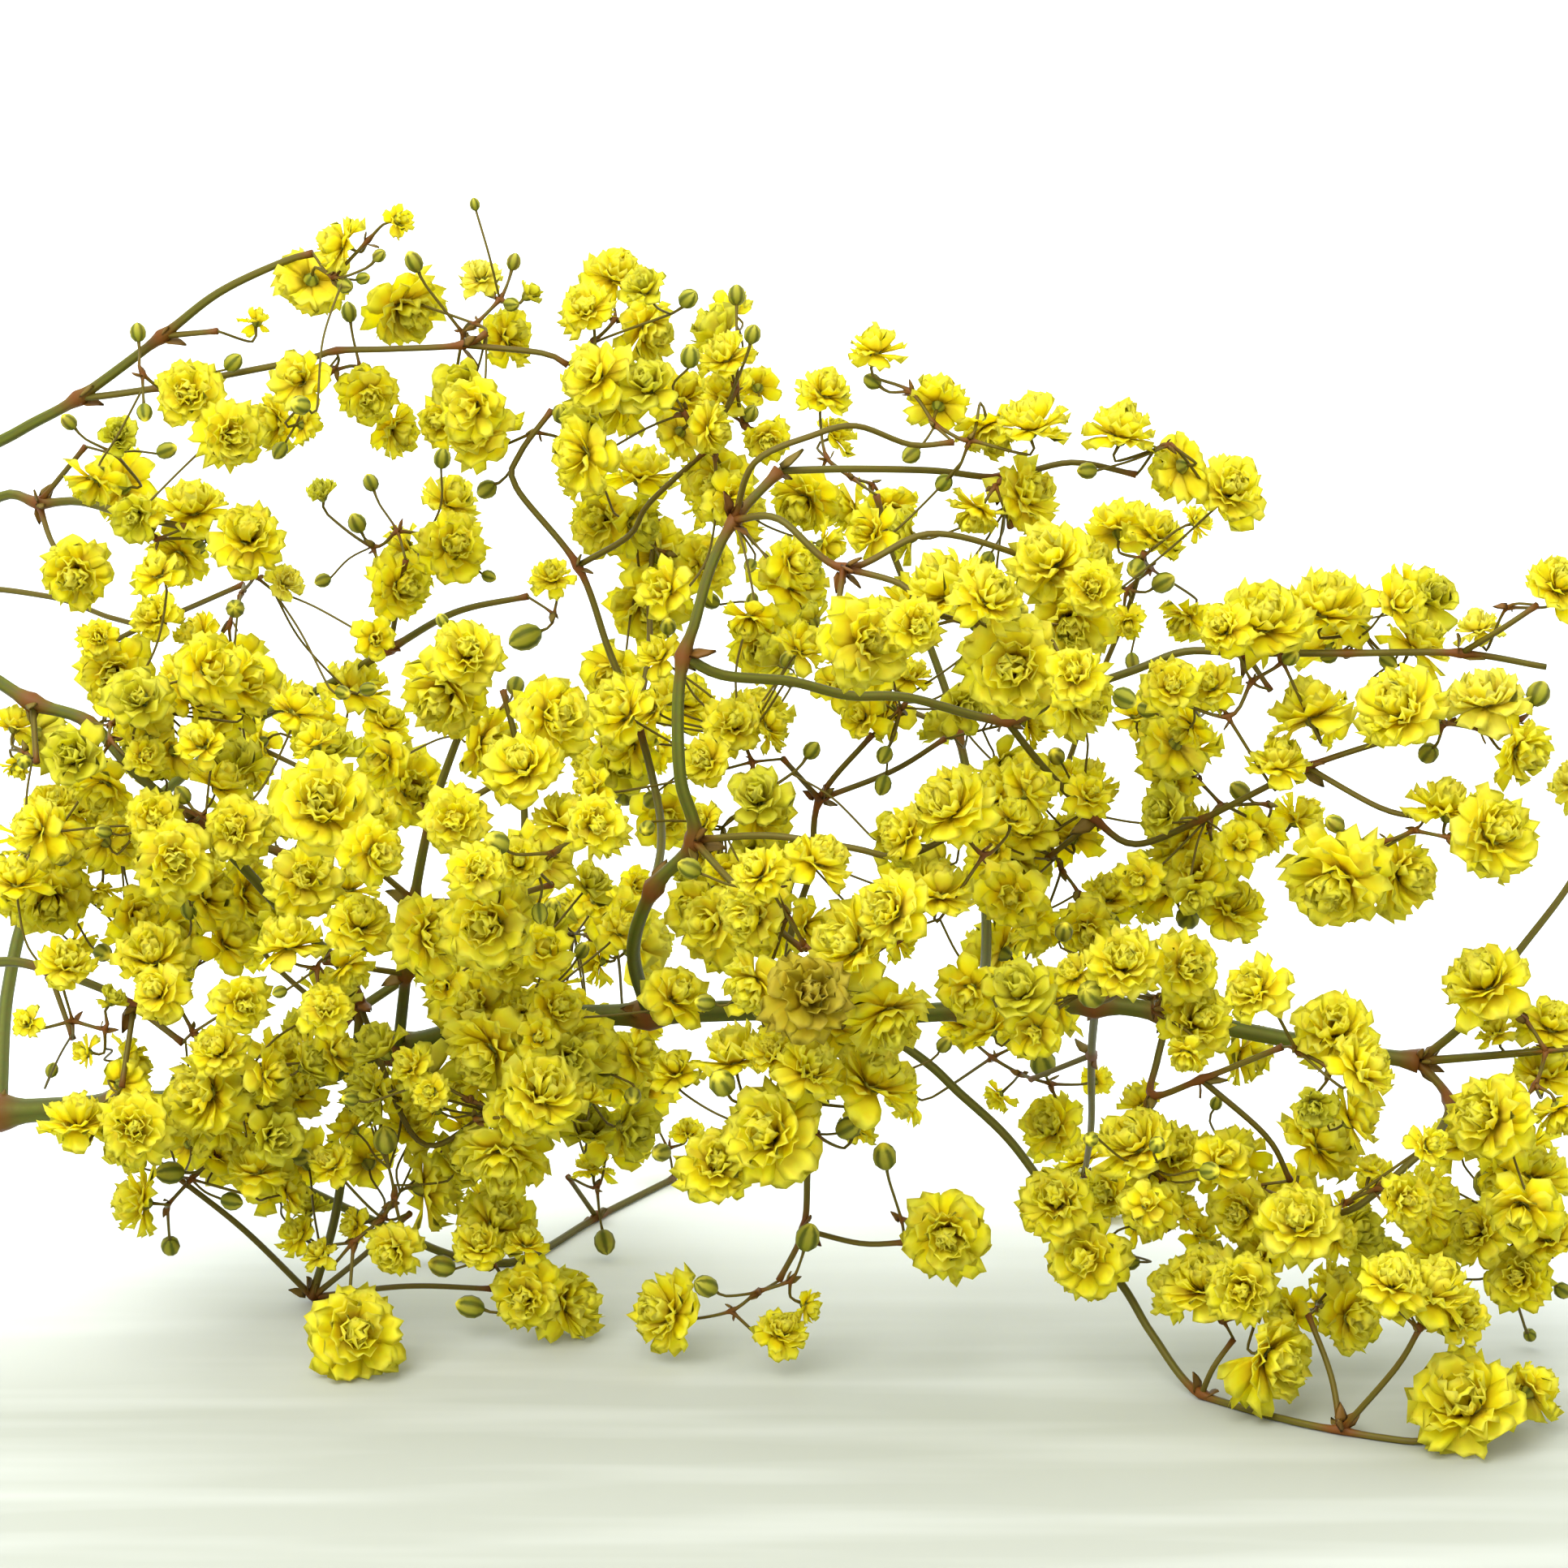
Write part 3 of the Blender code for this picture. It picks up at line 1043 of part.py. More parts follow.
def main():
    for obj in list(bpy.data.objects):
        bpy.data.objects.remove(obj)
    home = bpy.data.collections.new("gypsophila stem")
    bpy.context.scene.collection.children.link(home)
    limbs = lay_limbs()
    layout = lay_sprays(limbs)
    push_clear(layout, limbs)
    draws = np.random.default_rng(SEED + 1)
    pieces = {name: [] for name in LIMBS}
    for name, lines in limbs.items():
        for places, widths in lines:
            pieces[name].append(twig_object(name, places, widths, widths[0] > THICK_TWIG))
    for stalk in layout.stalks:
        if layout.kind[stalk[0]] != "base":
            continue
        node = layout.node[stalk[0]]
        if node not in LIMBS:
            carrier = limbs[SPRAYS[int(node.split("_")[1]) - 1][0]]
            first = [layout.place[i] for i in stalk[:2]]
            layout.place[stalk[0]] = seated(first, carrier, stalk_width(layout.load[stalk[0]]))[0]
        skin = Skin(layout, draws)
        skin.start(stalk, rooted(layout.place[stalk[0]], limbs[node]) if node in LIMBS else None)
        pieces.setdefault(node, []).append(mesh_object(node, skin.points, skin.faces))
    green = finish("stem green", (0.13, 0.18, 0.03), 0.6)
    yellow = finish("bloom yellow", (0.80, 0.66, 0.02), 0.75)
    total = 0
    print(len(BLOOMS), len(BUDS), "stalks", len(layout.stalks), "points", len(layout.place))
    for name, parts in pieces.items():
        before = sum(sum(len(f.vertices) - 2 for f in p.data.polygons) for p in parts)
        bare = name in LIMBS and not LIMBS[name][1]
        body = joined(name, parts, home, green if bare else yellow)
        after = sum(len(p.vertices) - 2 for p in body.data.polygons)
        total += after
        print(name, len(parts), "pieces", before, after, "triangles")
    print(total)


if __name__ == "__main__":
    main()
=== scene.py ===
import math

import bpy
import numpy as np
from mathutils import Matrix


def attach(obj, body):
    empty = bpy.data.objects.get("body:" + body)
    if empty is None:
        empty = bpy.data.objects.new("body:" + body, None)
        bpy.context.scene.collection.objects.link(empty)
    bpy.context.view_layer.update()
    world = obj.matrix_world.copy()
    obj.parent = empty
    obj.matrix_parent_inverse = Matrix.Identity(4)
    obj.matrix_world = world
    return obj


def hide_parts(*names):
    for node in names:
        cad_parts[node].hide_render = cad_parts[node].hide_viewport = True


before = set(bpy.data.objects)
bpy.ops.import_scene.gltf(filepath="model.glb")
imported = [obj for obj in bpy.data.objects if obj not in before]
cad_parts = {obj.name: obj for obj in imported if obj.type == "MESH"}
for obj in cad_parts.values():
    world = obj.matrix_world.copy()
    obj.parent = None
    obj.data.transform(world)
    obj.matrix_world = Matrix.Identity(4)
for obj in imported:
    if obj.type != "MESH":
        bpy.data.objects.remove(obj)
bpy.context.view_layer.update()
print("frame loaded with", len(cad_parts), "solids")

mm = 0.001
anyTurn = (0, 6.3)  # radians
upright = np.array((0, 0, 1.0))
onFloor = None  # stands in place of a depth where a point lies on the surface

# How the photograph was seen: metres, and pixels of the square picture
seen = {
    "distance": 0.450,
    "tilt": math.radians(12),
    "height": 0.0582,
    "pixel": 0.08 * mm,
    "picture": 1932,
    "middle": 966,
}
shift = np.array((52.97, -9.10, 0.0)) * mm  # moves the middle of the stem's underside to the origin

# Each limb: the limb that carries it, whether its sprays are one solid with it, and its twigs as start and
# end radius in millimetres and picture points (across, down, depth in millimetres away from the viewer)
limbRoutes = {
    "main_stem": (None, False, [
        (1.5, 0.75, [(-1200, 1566, onFloor), (-900, 1515, 25), (-600, 1455, 28), (-330, 1410, 31),
            (-150, 1388, 31), (0, 1372, 29), (150, 1362, 25), (330, 1345, 19), (490, 1293, 12), (640, 1258, 8),
            (800, 1250, 6), (965, 1245, 4), (1060, 1252, 3), (1200, 1245, 0), (1350, 1238, -3),
            (1440, 1250, -5), (1520, 1268, -6), (1660, 1295, -7), (1748, 1308, -8)]),
        (0.5, 0.35, [(1748, 1308, -8), (1810, 1255, -10), (1865, 1180, -10), (1930, 1095, -8),
            (1965, 1030, -4)]),
        (0.5, 0.35, [(1748, 1308, -8), (1870, 1298, -14), (1950, 1290, -16)]),
        (0.5, 0.35, [(1748, 1308, -8), (1785, 1355, -12), (1770, 1400, -18), (1740, 1430, -21),
            (1675, 1485, -22), (1635, 1497, -20)]),
        (0.42, 0.35, [(1785, 1355, -12), (1850, 1440, -10), (1890, 1520, -8)]),
    ]),
    "limb_high_left": ("main_stem", False, [
        (0.95, 0.35, [(-330, 1410, 31), (-300, 1200, 32), (-240, 960, 32), (-150, 720, 29), (-60, 585, 26),
            (25, 530, 24), (97, 490, 22), (200, 414, 18), (270, 360, 15), (350, 322, 13), (385, 312, 12)]),
        (0.4, 0.32, [(97, 490, 22), (125, 488, 21), (200, 477, 20), (300, 458, 18), (380, 442, 16),
            (415, 432, 15), (480, 430, 14), (570, 425, 12), (600, 410, 12)]),
        (0.34, 0.3, [(570, 425, 12), (668, 435, 12), (700, 450, 12)]),
        (0.34, 0.3, [(200, 414, 18), (268, 408, 15)]),
    ]),
    "limb_left_back": ("main_stem", True, [
        (0.85, 0.4, [(-150, 1388, 31), (-190, 1200, 40), (-200, 1000, 44), (-150, 800, 46), (-80, 680, 45),
            (0, 612, 42), (48, 620, 40), (97, 618, 38), (160, 635, 34), (230, 650, 31)]),
        (0.36, 0.3, [(48, 620, 40), (105, 550, 37)]),
        (0.36, 0.3, [(48, 620, 40), (65, 670, 37), (92, 700, 34)]),
        (0.4, 0.3, [(-150, 800, 46), (-60, 730, 48), (60, 735, 45), (140, 762, 40), (190, 765, 37),
            (300, 720, 31)]),
        (0.34, 0.3, [(190, 765, 37), (110, 805, 34)]),
    ]),
    "limb_middle_left": ("main_stem", False, [
        (1.05, 0.45, [(-600, 1455, 28), (-520, 1200, 17), (-380, 970, 10), (-200, 840, 8), (-60, 815, 7),
            (40, 865, 5), (110, 890, 4), (170, 955, 2), (245, 1010, -1), (350, 1052, -3)]),
        (0.36, 0.3, [(40, 865, 5), (45, 940, 0)]),
        (0.6, 0.5, [(245, 1010, -1), (310, 1080, 0), (360, 1135, 2), (410, 1180, 4), (442, 1235, 5),
            (432, 1350, 7), (415, 1490, 10), (385, 1598, onFloor)]),
        (0.4, 0.32, [(385, 1598, onFloor), (300, 1515, 7), (215, 1448, 2)]),
        (0.36, 0.3, [(385, 1598, onFloor), (500, 1585, 9), (605, 1588, 5)]),
        (0.36, 0.3, [(385, 1598, onFloor), (450, 1545, 7), (505, 1495, 2)]),
        (0.36, 0.3, [(442, 1235, 5), (515, 1405, 0), (600, 1375, -3)]),
    ]),
    "limb_low_left": ("main_stem", True, [
        (0.75, 0.35, [(-150, 1388, 31), (-150, 1290, 22), (-90, 1210, 11), (0, 1185, 4), (60, 1195, 1),
            (125, 1218, -3), (165, 1240, -5), (225, 1285, -8)]),
        (0.34, 0.3, [(165, 1240, -5), (150, 1340, -9)]),
        (0.36, 0.3, [(-90, 1210, 11), (0, 1090, 13), (85, 1020, 10)]),
        (0.34, 0.3, [(60, 1195, 1), (90, 1280, -4)]),
    ]),
    "limb_back_left": ("main_stem", True, [
        (0.9, 0.35, [(0, 1372, 29), (10, 1220, 46), (45, 1100, 54), (130, 1040, 55), (286, 905, 52),
            (393, 850, 48), (480, 800, 44), (560, 755, 40), (650, 735, 36)]),
        (0.36, 0.3, [(286, 905, 52), (400, 960, 46)]),
        (0.36, 0.3, [(480, 800, 44), (500, 690, 38)]),
    ]),
    "limb_inner_left": ("main_stem", True, [
        (0.7, 0.35, [(490, 1293, 12), (500, 1200, 0), (510, 1110, -8), (530, 1010, -14), (560, 920, -18),
            (590, 850, -20)]),
        (0.36, 0.3, [(510, 1110, -8), (430, 1040, -16), (390, 985, -20)]),
        (0.36, 0.3, [(530, 1010, -14), (620, 960, -20), (700, 895, -22)]),
        (0.34, 0.3, [(500, 1200, 0), (400, 1185, -12)]),
        (0.36, 0.3, [(510, 1110, -8), (600, 1110, -20), (680, 1090, -26)]),
    ]),
    "limb_inner_back": ("main_stem", True, [
        (0.65, 0.35, [(330, 1345, 19), (420, 1260, 28), (560, 1160, 32), (640, 1060, 33), (640, 940, 33),
            (620, 850, 33)]),
        (0.36, 0.3, [(640, 1060, 33), (730, 1000, 34), (745, 900, 34)]),
        (0.36, 0.3, [(420, 1260, 28), (330, 1180, 30), (300, 1110, 30)]),
        (0.36, 0.3, [(560, 1160, 32), (700, 1150, 30)]),
    ]),
    "limb_arch": ("main_stem", False, [
        (0.8, 0.5, [(800, 1250, 6), (780, 1170, -4), (805, 1095, -10), (855, 1035, -13), (838, 960, -14),
            (835, 870, -13), (842, 808, -12), (855, 770, -12), (875, 700, -11), (905, 640, -10),
            (960, 580, -8)]),
        (0.4, 0.32, [(855, 1035, -13), (950, 1030, -17), (1050, 1045, -19), (1115, 1055, -19),
            (1200, 1015, -17)]),
        (0.4, 0.32, [(855, 1035, -13), (900, 1085, -20), (960, 1145, -26), (990, 1170, -28)]),
    ]),
    "limb_arch_top": ("limb_arch", True, [
        (0.42, 0.32, [(960, 580, -8), (1050, 578, -6), (1150, 580, -3), (1235, 588, 0), (1320, 570, 1),
            (1400, 585, 1)]),
        (0.34, 0.3, [(1235, 588, 0), (1245, 650, -4)]),
    ]),
    "limb_arch_curl": ("limb_arch", True, [
        (0.36, 0.3, [(905, 640, -10), (930, 570, -14), (1000, 537, -14), (1055, 525, -12), (1122, 548, -9),
            (1175, 545, -8)]),
    ]),
    "limb_arch_front": ("limb_arch", True, [
        (0.4, 0.32, [(905, 640, -10), (960, 640, -16), (1040, 700, -18), (1143, 658, -17), (1245, 680, -14),
            (1282, 703, -12)]),
        (0.36, 0.3, [(1040, 700, -18), (1110, 720, -20), (1150, 755, -22), (1225, 775, -24)]),
        (0.34, 0.3, [(1040, 700, -18), (1030, 760, -23)]),
    ]),
    "limb_right": ("limb_arch", False, [
        (0.6, 0.35, [(842, 808, -12), (890, 832, -11), (975, 840, -8), (1045, 857, -6), (1120, 860, -5),
            (1240, 888, -3), (1315, 855, -3), (1400, 825, -4), (1460, 803, -4), (1535, 805, -5),
            (1660, 805, -6), (1800, 805, -6), (1905, 822, -6)]),
        (0.34, 0.3, [(1800, 805, -6), (1850, 775, -9), (1895, 745, -10)]),
        (0.42, 0.32, [(1240, 888, -3), (1290, 950, 1), (1350, 1010, 3), (1400, 1040, 2), (1480, 1010, -2),
            (1550, 975, -6), (1610, 945, -8), (1700, 915, -10), (1795, 888, -12)]),
        (0.34, 0.3, [(1350, 1010, 3), (1290, 1058, 6)]),
        (0.34, 0.3, [(1610, 945, -8), (1700, 995, -12), (1755, 1008, -14)]),
        (0.32, 0.3, [(1535, 805, -5), (1565, 850, -9)]),
    ]),
    "limb_centre_back": ("limb_arch", True, [
        (0.5, 0.32, [(805, 1095, -10), (815, 1040, 2), (810, 985, 11), (785, 888, 14), (750, 800, 15),
            (712, 697, 15), (636, 600, 15), (640, 560, 15), (680, 505, 15)]),
        (0.36, 0.3, [(712, 697, 15), (775, 660, 11), (800, 620, 9), (870, 555, 6)]),
        (0.36, 0.3, [(785, 888, 14), (800, 800, 24), (800, 720, 30), (810, 640, 34)]),
    ]),
    "limb_back_centre": ("main_stem", True, [
        (0.65, 0.35, [(1200, 1245, 0), (1215, 1180, 14), (1210, 1060, 24), (1180, 900, 31), (1140, 780, 34),
            (1100, 680, 34), (1080, 610, 33)]),
        (0.4, 0.3, [(1210, 1060, 24), (1300, 970, 30), (1340, 870, 31), (1390, 750, 29), (1410, 680, 26)]),
        (0.36, 0.3, [(1180, 900, 31), (1050, 840, 34), (980, 740, 34)]),
    ]),
    "limb_centre_low": ("main_stem", True, [
        (0.45, 0.32, [(965, 1245, 4), (975, 1150, 10), (1000, 1070, 11), (1010, 985, 11), (1075, 905, 9)]),
        (0.34, 0.3, [(1010, 985, 11), (965, 935, 5)]),
        (0.34, 0.3, [(1010, 985, 11), (1100, 950, 12), (1165, 910, 12)]),
    ]),
    "limb_floor_right": ("main_stem", False, [
        (0.55, 0.36, [(1060, 1252, 3), (1140, 1308, 0), (1180, 1345, -2), (1242, 1403, -4), (1300, 1480, -6),
            (1380, 1580, -9), (1420, 1645, -11), (1480, 1719, onFloor), (1580, 1748, onFloor),
            (1652, 1763, onFloor), (1740, 1776, onFloor), (1783, 1768, -29)]),
        (0.36, 0.3, [(1480, 1719, onFloor), (1495, 1685, -18), (1520, 1650, -17)]),
        (0.36, 0.3, [(1652, 1763, onFloor), (1640, 1695, -22), (1612, 1620, -18)]),
        (0.36, 0.3, [(1652, 1763, onFloor), (1720, 1685, -30), (1750, 1635, -32)]),
    ]),
    "limb_low_middle": ("main_stem", True, [
        (0.45, 0.32, [(965, 1245, 4), (1005, 1300, -2), (1000, 1365, -5), (995, 1440, -6), (990, 1515, -6),
            (960, 1578, -6)]),
        (0.32, 0.3, [(990, 1515, -6), (1060, 1532, -10), (1115, 1531, -12)]),
        (0.34, 0.3, [(1000, 1365, -5), (930, 1400, -14)]),
    ]),
    "limb_low_right": ("main_stem", True, [
        (0.42, 0.32, [(1440, 1250, -5), (1425, 1310, -9), (1420, 1350, -12), (1480, 1330, -16),
            (1580, 1290, -20)]),
        (0.34, 0.3, [(1420, 1350, -12), (1400, 1440, -14)]),
        (0.34, 0.3, [(1480, 1330, -16), (1560, 1400, -14), (1590, 1455, -12)]),
    ]),
    "limb_low_back_left": ("main_stem", True, [
        (0.6, 0.4, [(150, 1362, 25), (300, 1430, 26), (450, 1500, 26), (560, 1548, onFloor),
            (640, 1553, onFloor), (735, 1500, onFloor), (830, 1452, onFloor)]),
        (0.34, 0.3, [(735, 1500, onFloor), (700, 1450, 34)]),
    ]),
    "limb_low_back_right": ("main_stem", True, [
        (0.5, 0.36, [(1350, 1238, -3), (1345, 1300, 18), (1345, 1380, 38), (1340, 1425, 50),
            (1335, 1448, onFloor)]),
        (0.34, 0.3, [(1345, 1300, 18), (1270, 1330, 28)]),
    ]),
}

# Each spray: its limb, the picture point that it grows from, and how far its blooms lean away, in mm
sprayFeet = [
    ("limb_high_left", 385, 312, -2), ("limb_high_left", 268, 408, 2), ("limb_high_left", 200, 477, -5),
    ("limb_high_left", 415, 432, 6), ("limb_high_left", 600, 410, 6), ("limb_high_left", 700, 450, -4),
    ("limb_left_back", 105, 550, 0), ("limb_left_back", 230, 650, 0), ("limb_left_back", 92, 700, -10),
    ("limb_left_back", 300, 720, -12), ("limb_left_back", 110, 805, -14), ("limb_middle_left", 110, 890, -10),
    ("limb_middle_left", 45, 940, 4), ("limb_middle_left", 245, 1010, -10),
    ("limb_middle_left", 350, 1052, -14), ("limb_middle_left", 215, 1448, -5),
    ("limb_middle_left", 605, 1588, -6), ("limb_middle_left", 505, 1495, -4),
    ("limb_middle_left", 600, 1375, -10), ("limb_low_left", 225, 1285, -8), ("limb_low_left", 150, 1340, -10),
    ("limb_low_left", 85, 1020, -2), ("limb_low_left", 90, 1280, -4), ("limb_back_left", 400, 960, 0),
    ("limb_back_left", 500, 690, 4), ("limb_back_left", 650, 735, 2), ("limb_inner_left", 590, 850, -8),
    ("limb_inner_left", 390, 985, -10), ("limb_inner_left", 700, 895, -8), ("limb_inner_left", 400, 1185, -8),
    ("limb_inner_left", 680, 1090, -10), ("limb_inner_back", 620, 850, 4), ("limb_inner_back", 745, 900, 6),
    ("limb_inner_back", 300, 1110, 8), ("limb_inner_back", 700, 1150, 10), ("limb_arch", 1200, 1015, -4),
    ("limb_arch", 990, 1170, -6), ("limb_arch_top", 1400, 585, 0), ("limb_arch_top", 1245, 650, 2),
    ("limb_arch_curl", 1175, 545, 2), ("limb_arch_front", 1282, 703, -8), ("limb_arch_front", 1225, 775, -8),
    ("limb_arch_front", 1030, 760, -6), ("limb_right", 1895, 745, -2), ("limb_right", 1660, 805, 4),
    ("limb_right", 1565, 850, -4), ("limb_right", 1795, 888, -4), ("limb_right", 1755, 1008, -4),
    ("limb_right", 1480, 1010, 6), ("limb_right", 1290, 1058, 4), ("limb_centre_back", 680, 505, 2),
    ("limb_centre_back", 870, 555, -4), ("limb_centre_back", 810, 640, 0), ("limb_back_centre", 1080, 610, 4),
    ("limb_back_centre", 1410, 680, 2), ("limb_back_centre", 980, 740, 0), ("limb_centre_low", 1075, 905, 0),
    ("limb_centre_low", 965, 935, -2), ("limb_centre_low", 1165, 910, 2), ("limb_floor_right", 1300, 1480, -8),
    ("limb_floor_right", 1520, 1650, -2), ("limb_floor_right", 1612, 1620, 4),
    ("limb_floor_right", 1750, 1635, -2), ("limb_floor_right", 1783, 1768, 0),
    ("limb_low_middle", 960, 1578, -4), ("limb_low_middle", 1115, 1531, 0), ("limb_low_middle", 930, 1400, -10),
    ("limb_low_right", 1580, 1290, -6), ("limb_low_right", 1400, 1440, 0), ("limb_low_right", 1590, 1455, 0),
    ("limb_low_back_left", 700, 1450, 0), ("limb_low_back_left", 830, 1452, 0),
    ("limb_low_back_right", 1335, 1448, 0), ("limb_low_back_right", 1270, 1330, 6),
    ("main_stem", 1965, 1030, 0), ("main_stem", 1950, 1290, 0), ("main_stem", 1635, 1497, -4),
    ("main_stem", 1890, 1520, 0), ("main_stem", 640, 1258, -16), ("main_stem", 1440, 1250, -16),
]

# Blooms as picture points and radius in pixels, from the top left to the bottom right
bloomSpots = [
    (402, 305, 30), (375, 348, 38), (318, 390, 18), (230, 485, 36), (283, 530, 36), (330, 520, 32),
    (380, 525, 21), (145, 535, 24), (362, 475, 22), (135, 600, 42), (175, 625, 24), (235, 615, 40),
    (305, 655, 40), (92, 710, 38), (215, 695, 35), (355, 715, 22), (395, 605, 20), (495, 270, 18),
    (505, 390, 43), (592, 335, 24), (655, 360, 18), (635, 412, 32), (765, 330, 35), (720, 375, 28),
    (807, 412, 35), (745, 490, 45), (720, 445, 20), (890, 430, 30), (893, 475, 32), (885, 530, 27),
    (455, 490, 32), (495, 535, 32), (540, 520, 28), (585, 525, 40), (560, 610, 33), (560, 670, 40),
    (490, 690, 38), (680, 705, 25), (735, 640, 38), (710, 580, 30), (790, 570, 40), (830, 540, 28),
    (880, 600, 40), (815, 670, 42), (870, 690, 35), (905, 620, 28), (945, 545, 25), (1080, 420, 30),
    (1020, 475, 32), (1035, 530, 25), (1160, 490, 31), (1225, 540, 35), (1270, 510, 38), (1385, 520, 38),
    (1440, 575, 35), (1512, 600, 38), (985, 625, 38), (1040, 630, 32), (1100, 640, 35), (1200, 640, 28),
    (1275, 605, 38), (985, 710, 45), (1160, 710, 48), (1225, 730, 35), (1290, 680, 45), (1380, 640, 38),
    (1430, 650, 35), (1480, 640, 20), (1350, 690, 35), (1075, 790, 45), (1130, 770, 28), (1120, 825, 25),
    (1250, 820, 50), (1320, 770, 42), (1345, 730, 30), (1320, 830, 30), (1390, 770, 20), (940, 800, 42),
    (1455, 770, 30), (1505, 770, 28), (1560, 755, 45), (1635, 735, 48), (1755, 785, 38), (1820, 770, 25),
    (1915, 725, 35), (1445, 840, 30), (1490, 840, 25), (1610, 865, 42), (1720, 865, 45), (1830, 850, 42),
    (1455, 905, 42), (1577, 930, 33), (1885, 930, 35), (1935, 955, 30), (1785, 985, 38), (1850, 1020, 45),
    (1610, 1005, 30), (1430, 1030, 42), (1550, 1035, 26), (1740, 1080, 40), (1440, 970, 25), (1480, 1030, 28),
    (185, 755, 28), (120, 785, 22), (235, 780, 30), (140, 835, 40), (185, 870, 36), (240, 850, 30),
    (285, 825, 35), (440, 835, 42), (480, 885, 28), (20, 885, 24), (95, 930, 18), (22, 950, 18), (310, 920, 32),
    (385, 910, 22), (180, 930, 22), (65, 985, 28), (95, 990, 24), (135, 1020, 45), (190, 1005, 30),
    (215, 1060, 42), (260, 1070, 26), (400, 985, 50), (455, 1000, 32), (290, 1020, 34), (375, 1080, 38),
    (60, 1115, 45), (10, 1110, 22), (125, 1105, 20), (85, 1180, 30), (185, 1170, 40), (335, 1115, 30),
    (355, 1150, 34), (445, 1130, 35), (290, 1170, 30), (500, 720, 38), (575, 800, 35), (540, 865, 45),
    (475, 930, 26), (610, 920, 40), (690, 880, 40), (510, 970, 45), (560, 1010, 32), (640, 935, 38),
    (725, 940, 38), (800, 755, 45), (940, 870, 38), (905, 890, 30), (820, 930, 24), (865, 935, 28),
    (700, 1000, 35), (735, 1015, 30), (470, 1050, 32), (860, 1010, 22), (800, 1160, 50), (600, 1140, 48),
    (540, 1150, 42), (700, 1120, 32), (745, 1130, 28), (790, 1090, 24), (590, 1070, 28), (640, 1060, 26),
    (930, 1070, 28), (900, 1115, 26), (1080, 870, 35), (955, 890, 28), (1165, 985, 42), (1105, 1025, 30),
    (1015, 1050, 33), (960, 1050, 22), (1155, 1085, 40), (1250, 1075, 50), (1250, 1000, 24), (1320, 1020, 32),
    (1340, 870, 34), (1345, 955, 32), (1280, 890, 28), (1040, 1160, 45), (1090, 1120, 36), (1215, 1160, 45),
    (920, 1130, 34), (1365, 1095, 32), (1340, 1150, 32), (1385, 1180, 38), (1320, 1195, 24), (1000, 1220, 42),
    (1270, 1240, 46), (1185, 1250, 32), (1100, 1265, 42), (920, 1220, 34), (190, 1220, 30), (30, 1258, 18),
    (140, 1228, 18), (100, 1297, 18), (95, 1370, 36), (165, 1390, 38), (240, 1345, 46), (265, 1290, 30),
    (310, 1340, 20), (315, 1430, 33), (160, 1480, 36), (300, 1240, 30), (345, 1390, 24), (400, 1240, 28),
    (360, 1520, 24), (390, 1540, 20), (435, 1200, 28), (405, 1430, 24), (430, 1510, 20), (440, 1640, 52),
    (550, 1190, 42), (580, 1235, 45), (620, 1180, 34), (725, 1185, 30), (690, 1240, 30), (640, 1240, 24),
    (590, 1305, 45), (720, 1290, 48), (680, 1340, 44), (790, 1330, 40), (640, 1370, 34), (760, 1390, 40),
    (730, 1430, 26), (900, 1290, 40), (950, 1290, 28), (1005, 1310, 35), (940, 1395, 52), (885, 1430, 40),
    (540, 1465, 45), (620, 1440, 46), (620, 1500, 42), (590, 1530, 28), (650, 1525, 24), (500, 1310, 24),
    (530, 1345, 20), (480, 1545, 30), (645, 1600, 38), (715, 1605, 42), (810, 1615, 42), (800, 1265, 26),
    (850, 1390, 22), (965, 1635, 28), (1000, 1612, 20), (1085, 1320, 46), (1110, 1355, 30), (1165, 1525, 45),
    (1225, 1355, 20), (1290, 1385, 38), (1330, 1420, 34), (1300, 1475, 38), (1335, 1550, 42), (1355, 1330, 20),
    (1395, 1400, 42), (1360, 1470, 36), (1060, 1385, 22), (1435, 1080, 44), (1520, 1110, 35), (1640, 1095, 52),
    (1825, 1200, 45), (1468, 1190, 36), (1480, 1255, 38), (1460, 1305, 22), (1540, 1215, 33), (1645, 1260, 42),
    (1690, 1310, 36), (1840, 1265, 22), (1915, 1260, 35), (1905, 1310, 34), (1825, 1375, 46), (1925, 1380, 30),
    (1450, 1420, 38), (1505, 1420, 40), (1640, 1400, 44), (1620, 1365, 24), (1690, 1435, 20), (1765, 1410, 22),
    (1735, 1480, 27), (1415, 1495, 33), (1460, 1485, 24), (1525, 1495, 34), (1600, 1500, 42), (1540, 1545, 32),
    (1895, 1435, 38), (1895, 1510, 36), (1815, 1515, 34), (1655, 1520, 24), (1440, 1580, 33), (1480, 1572, 44),
    (1530, 1590, 36), (1580, 1620, 28), (1580, 1680, 50), (1650, 1575, 28), (1675, 1625, 38), (1720, 1570, 34),
    (1770, 1580, 42), (1805, 1615, 32), (1870, 1575, 34), (1800, 1725, 58), (1895, 1705, 34),
]

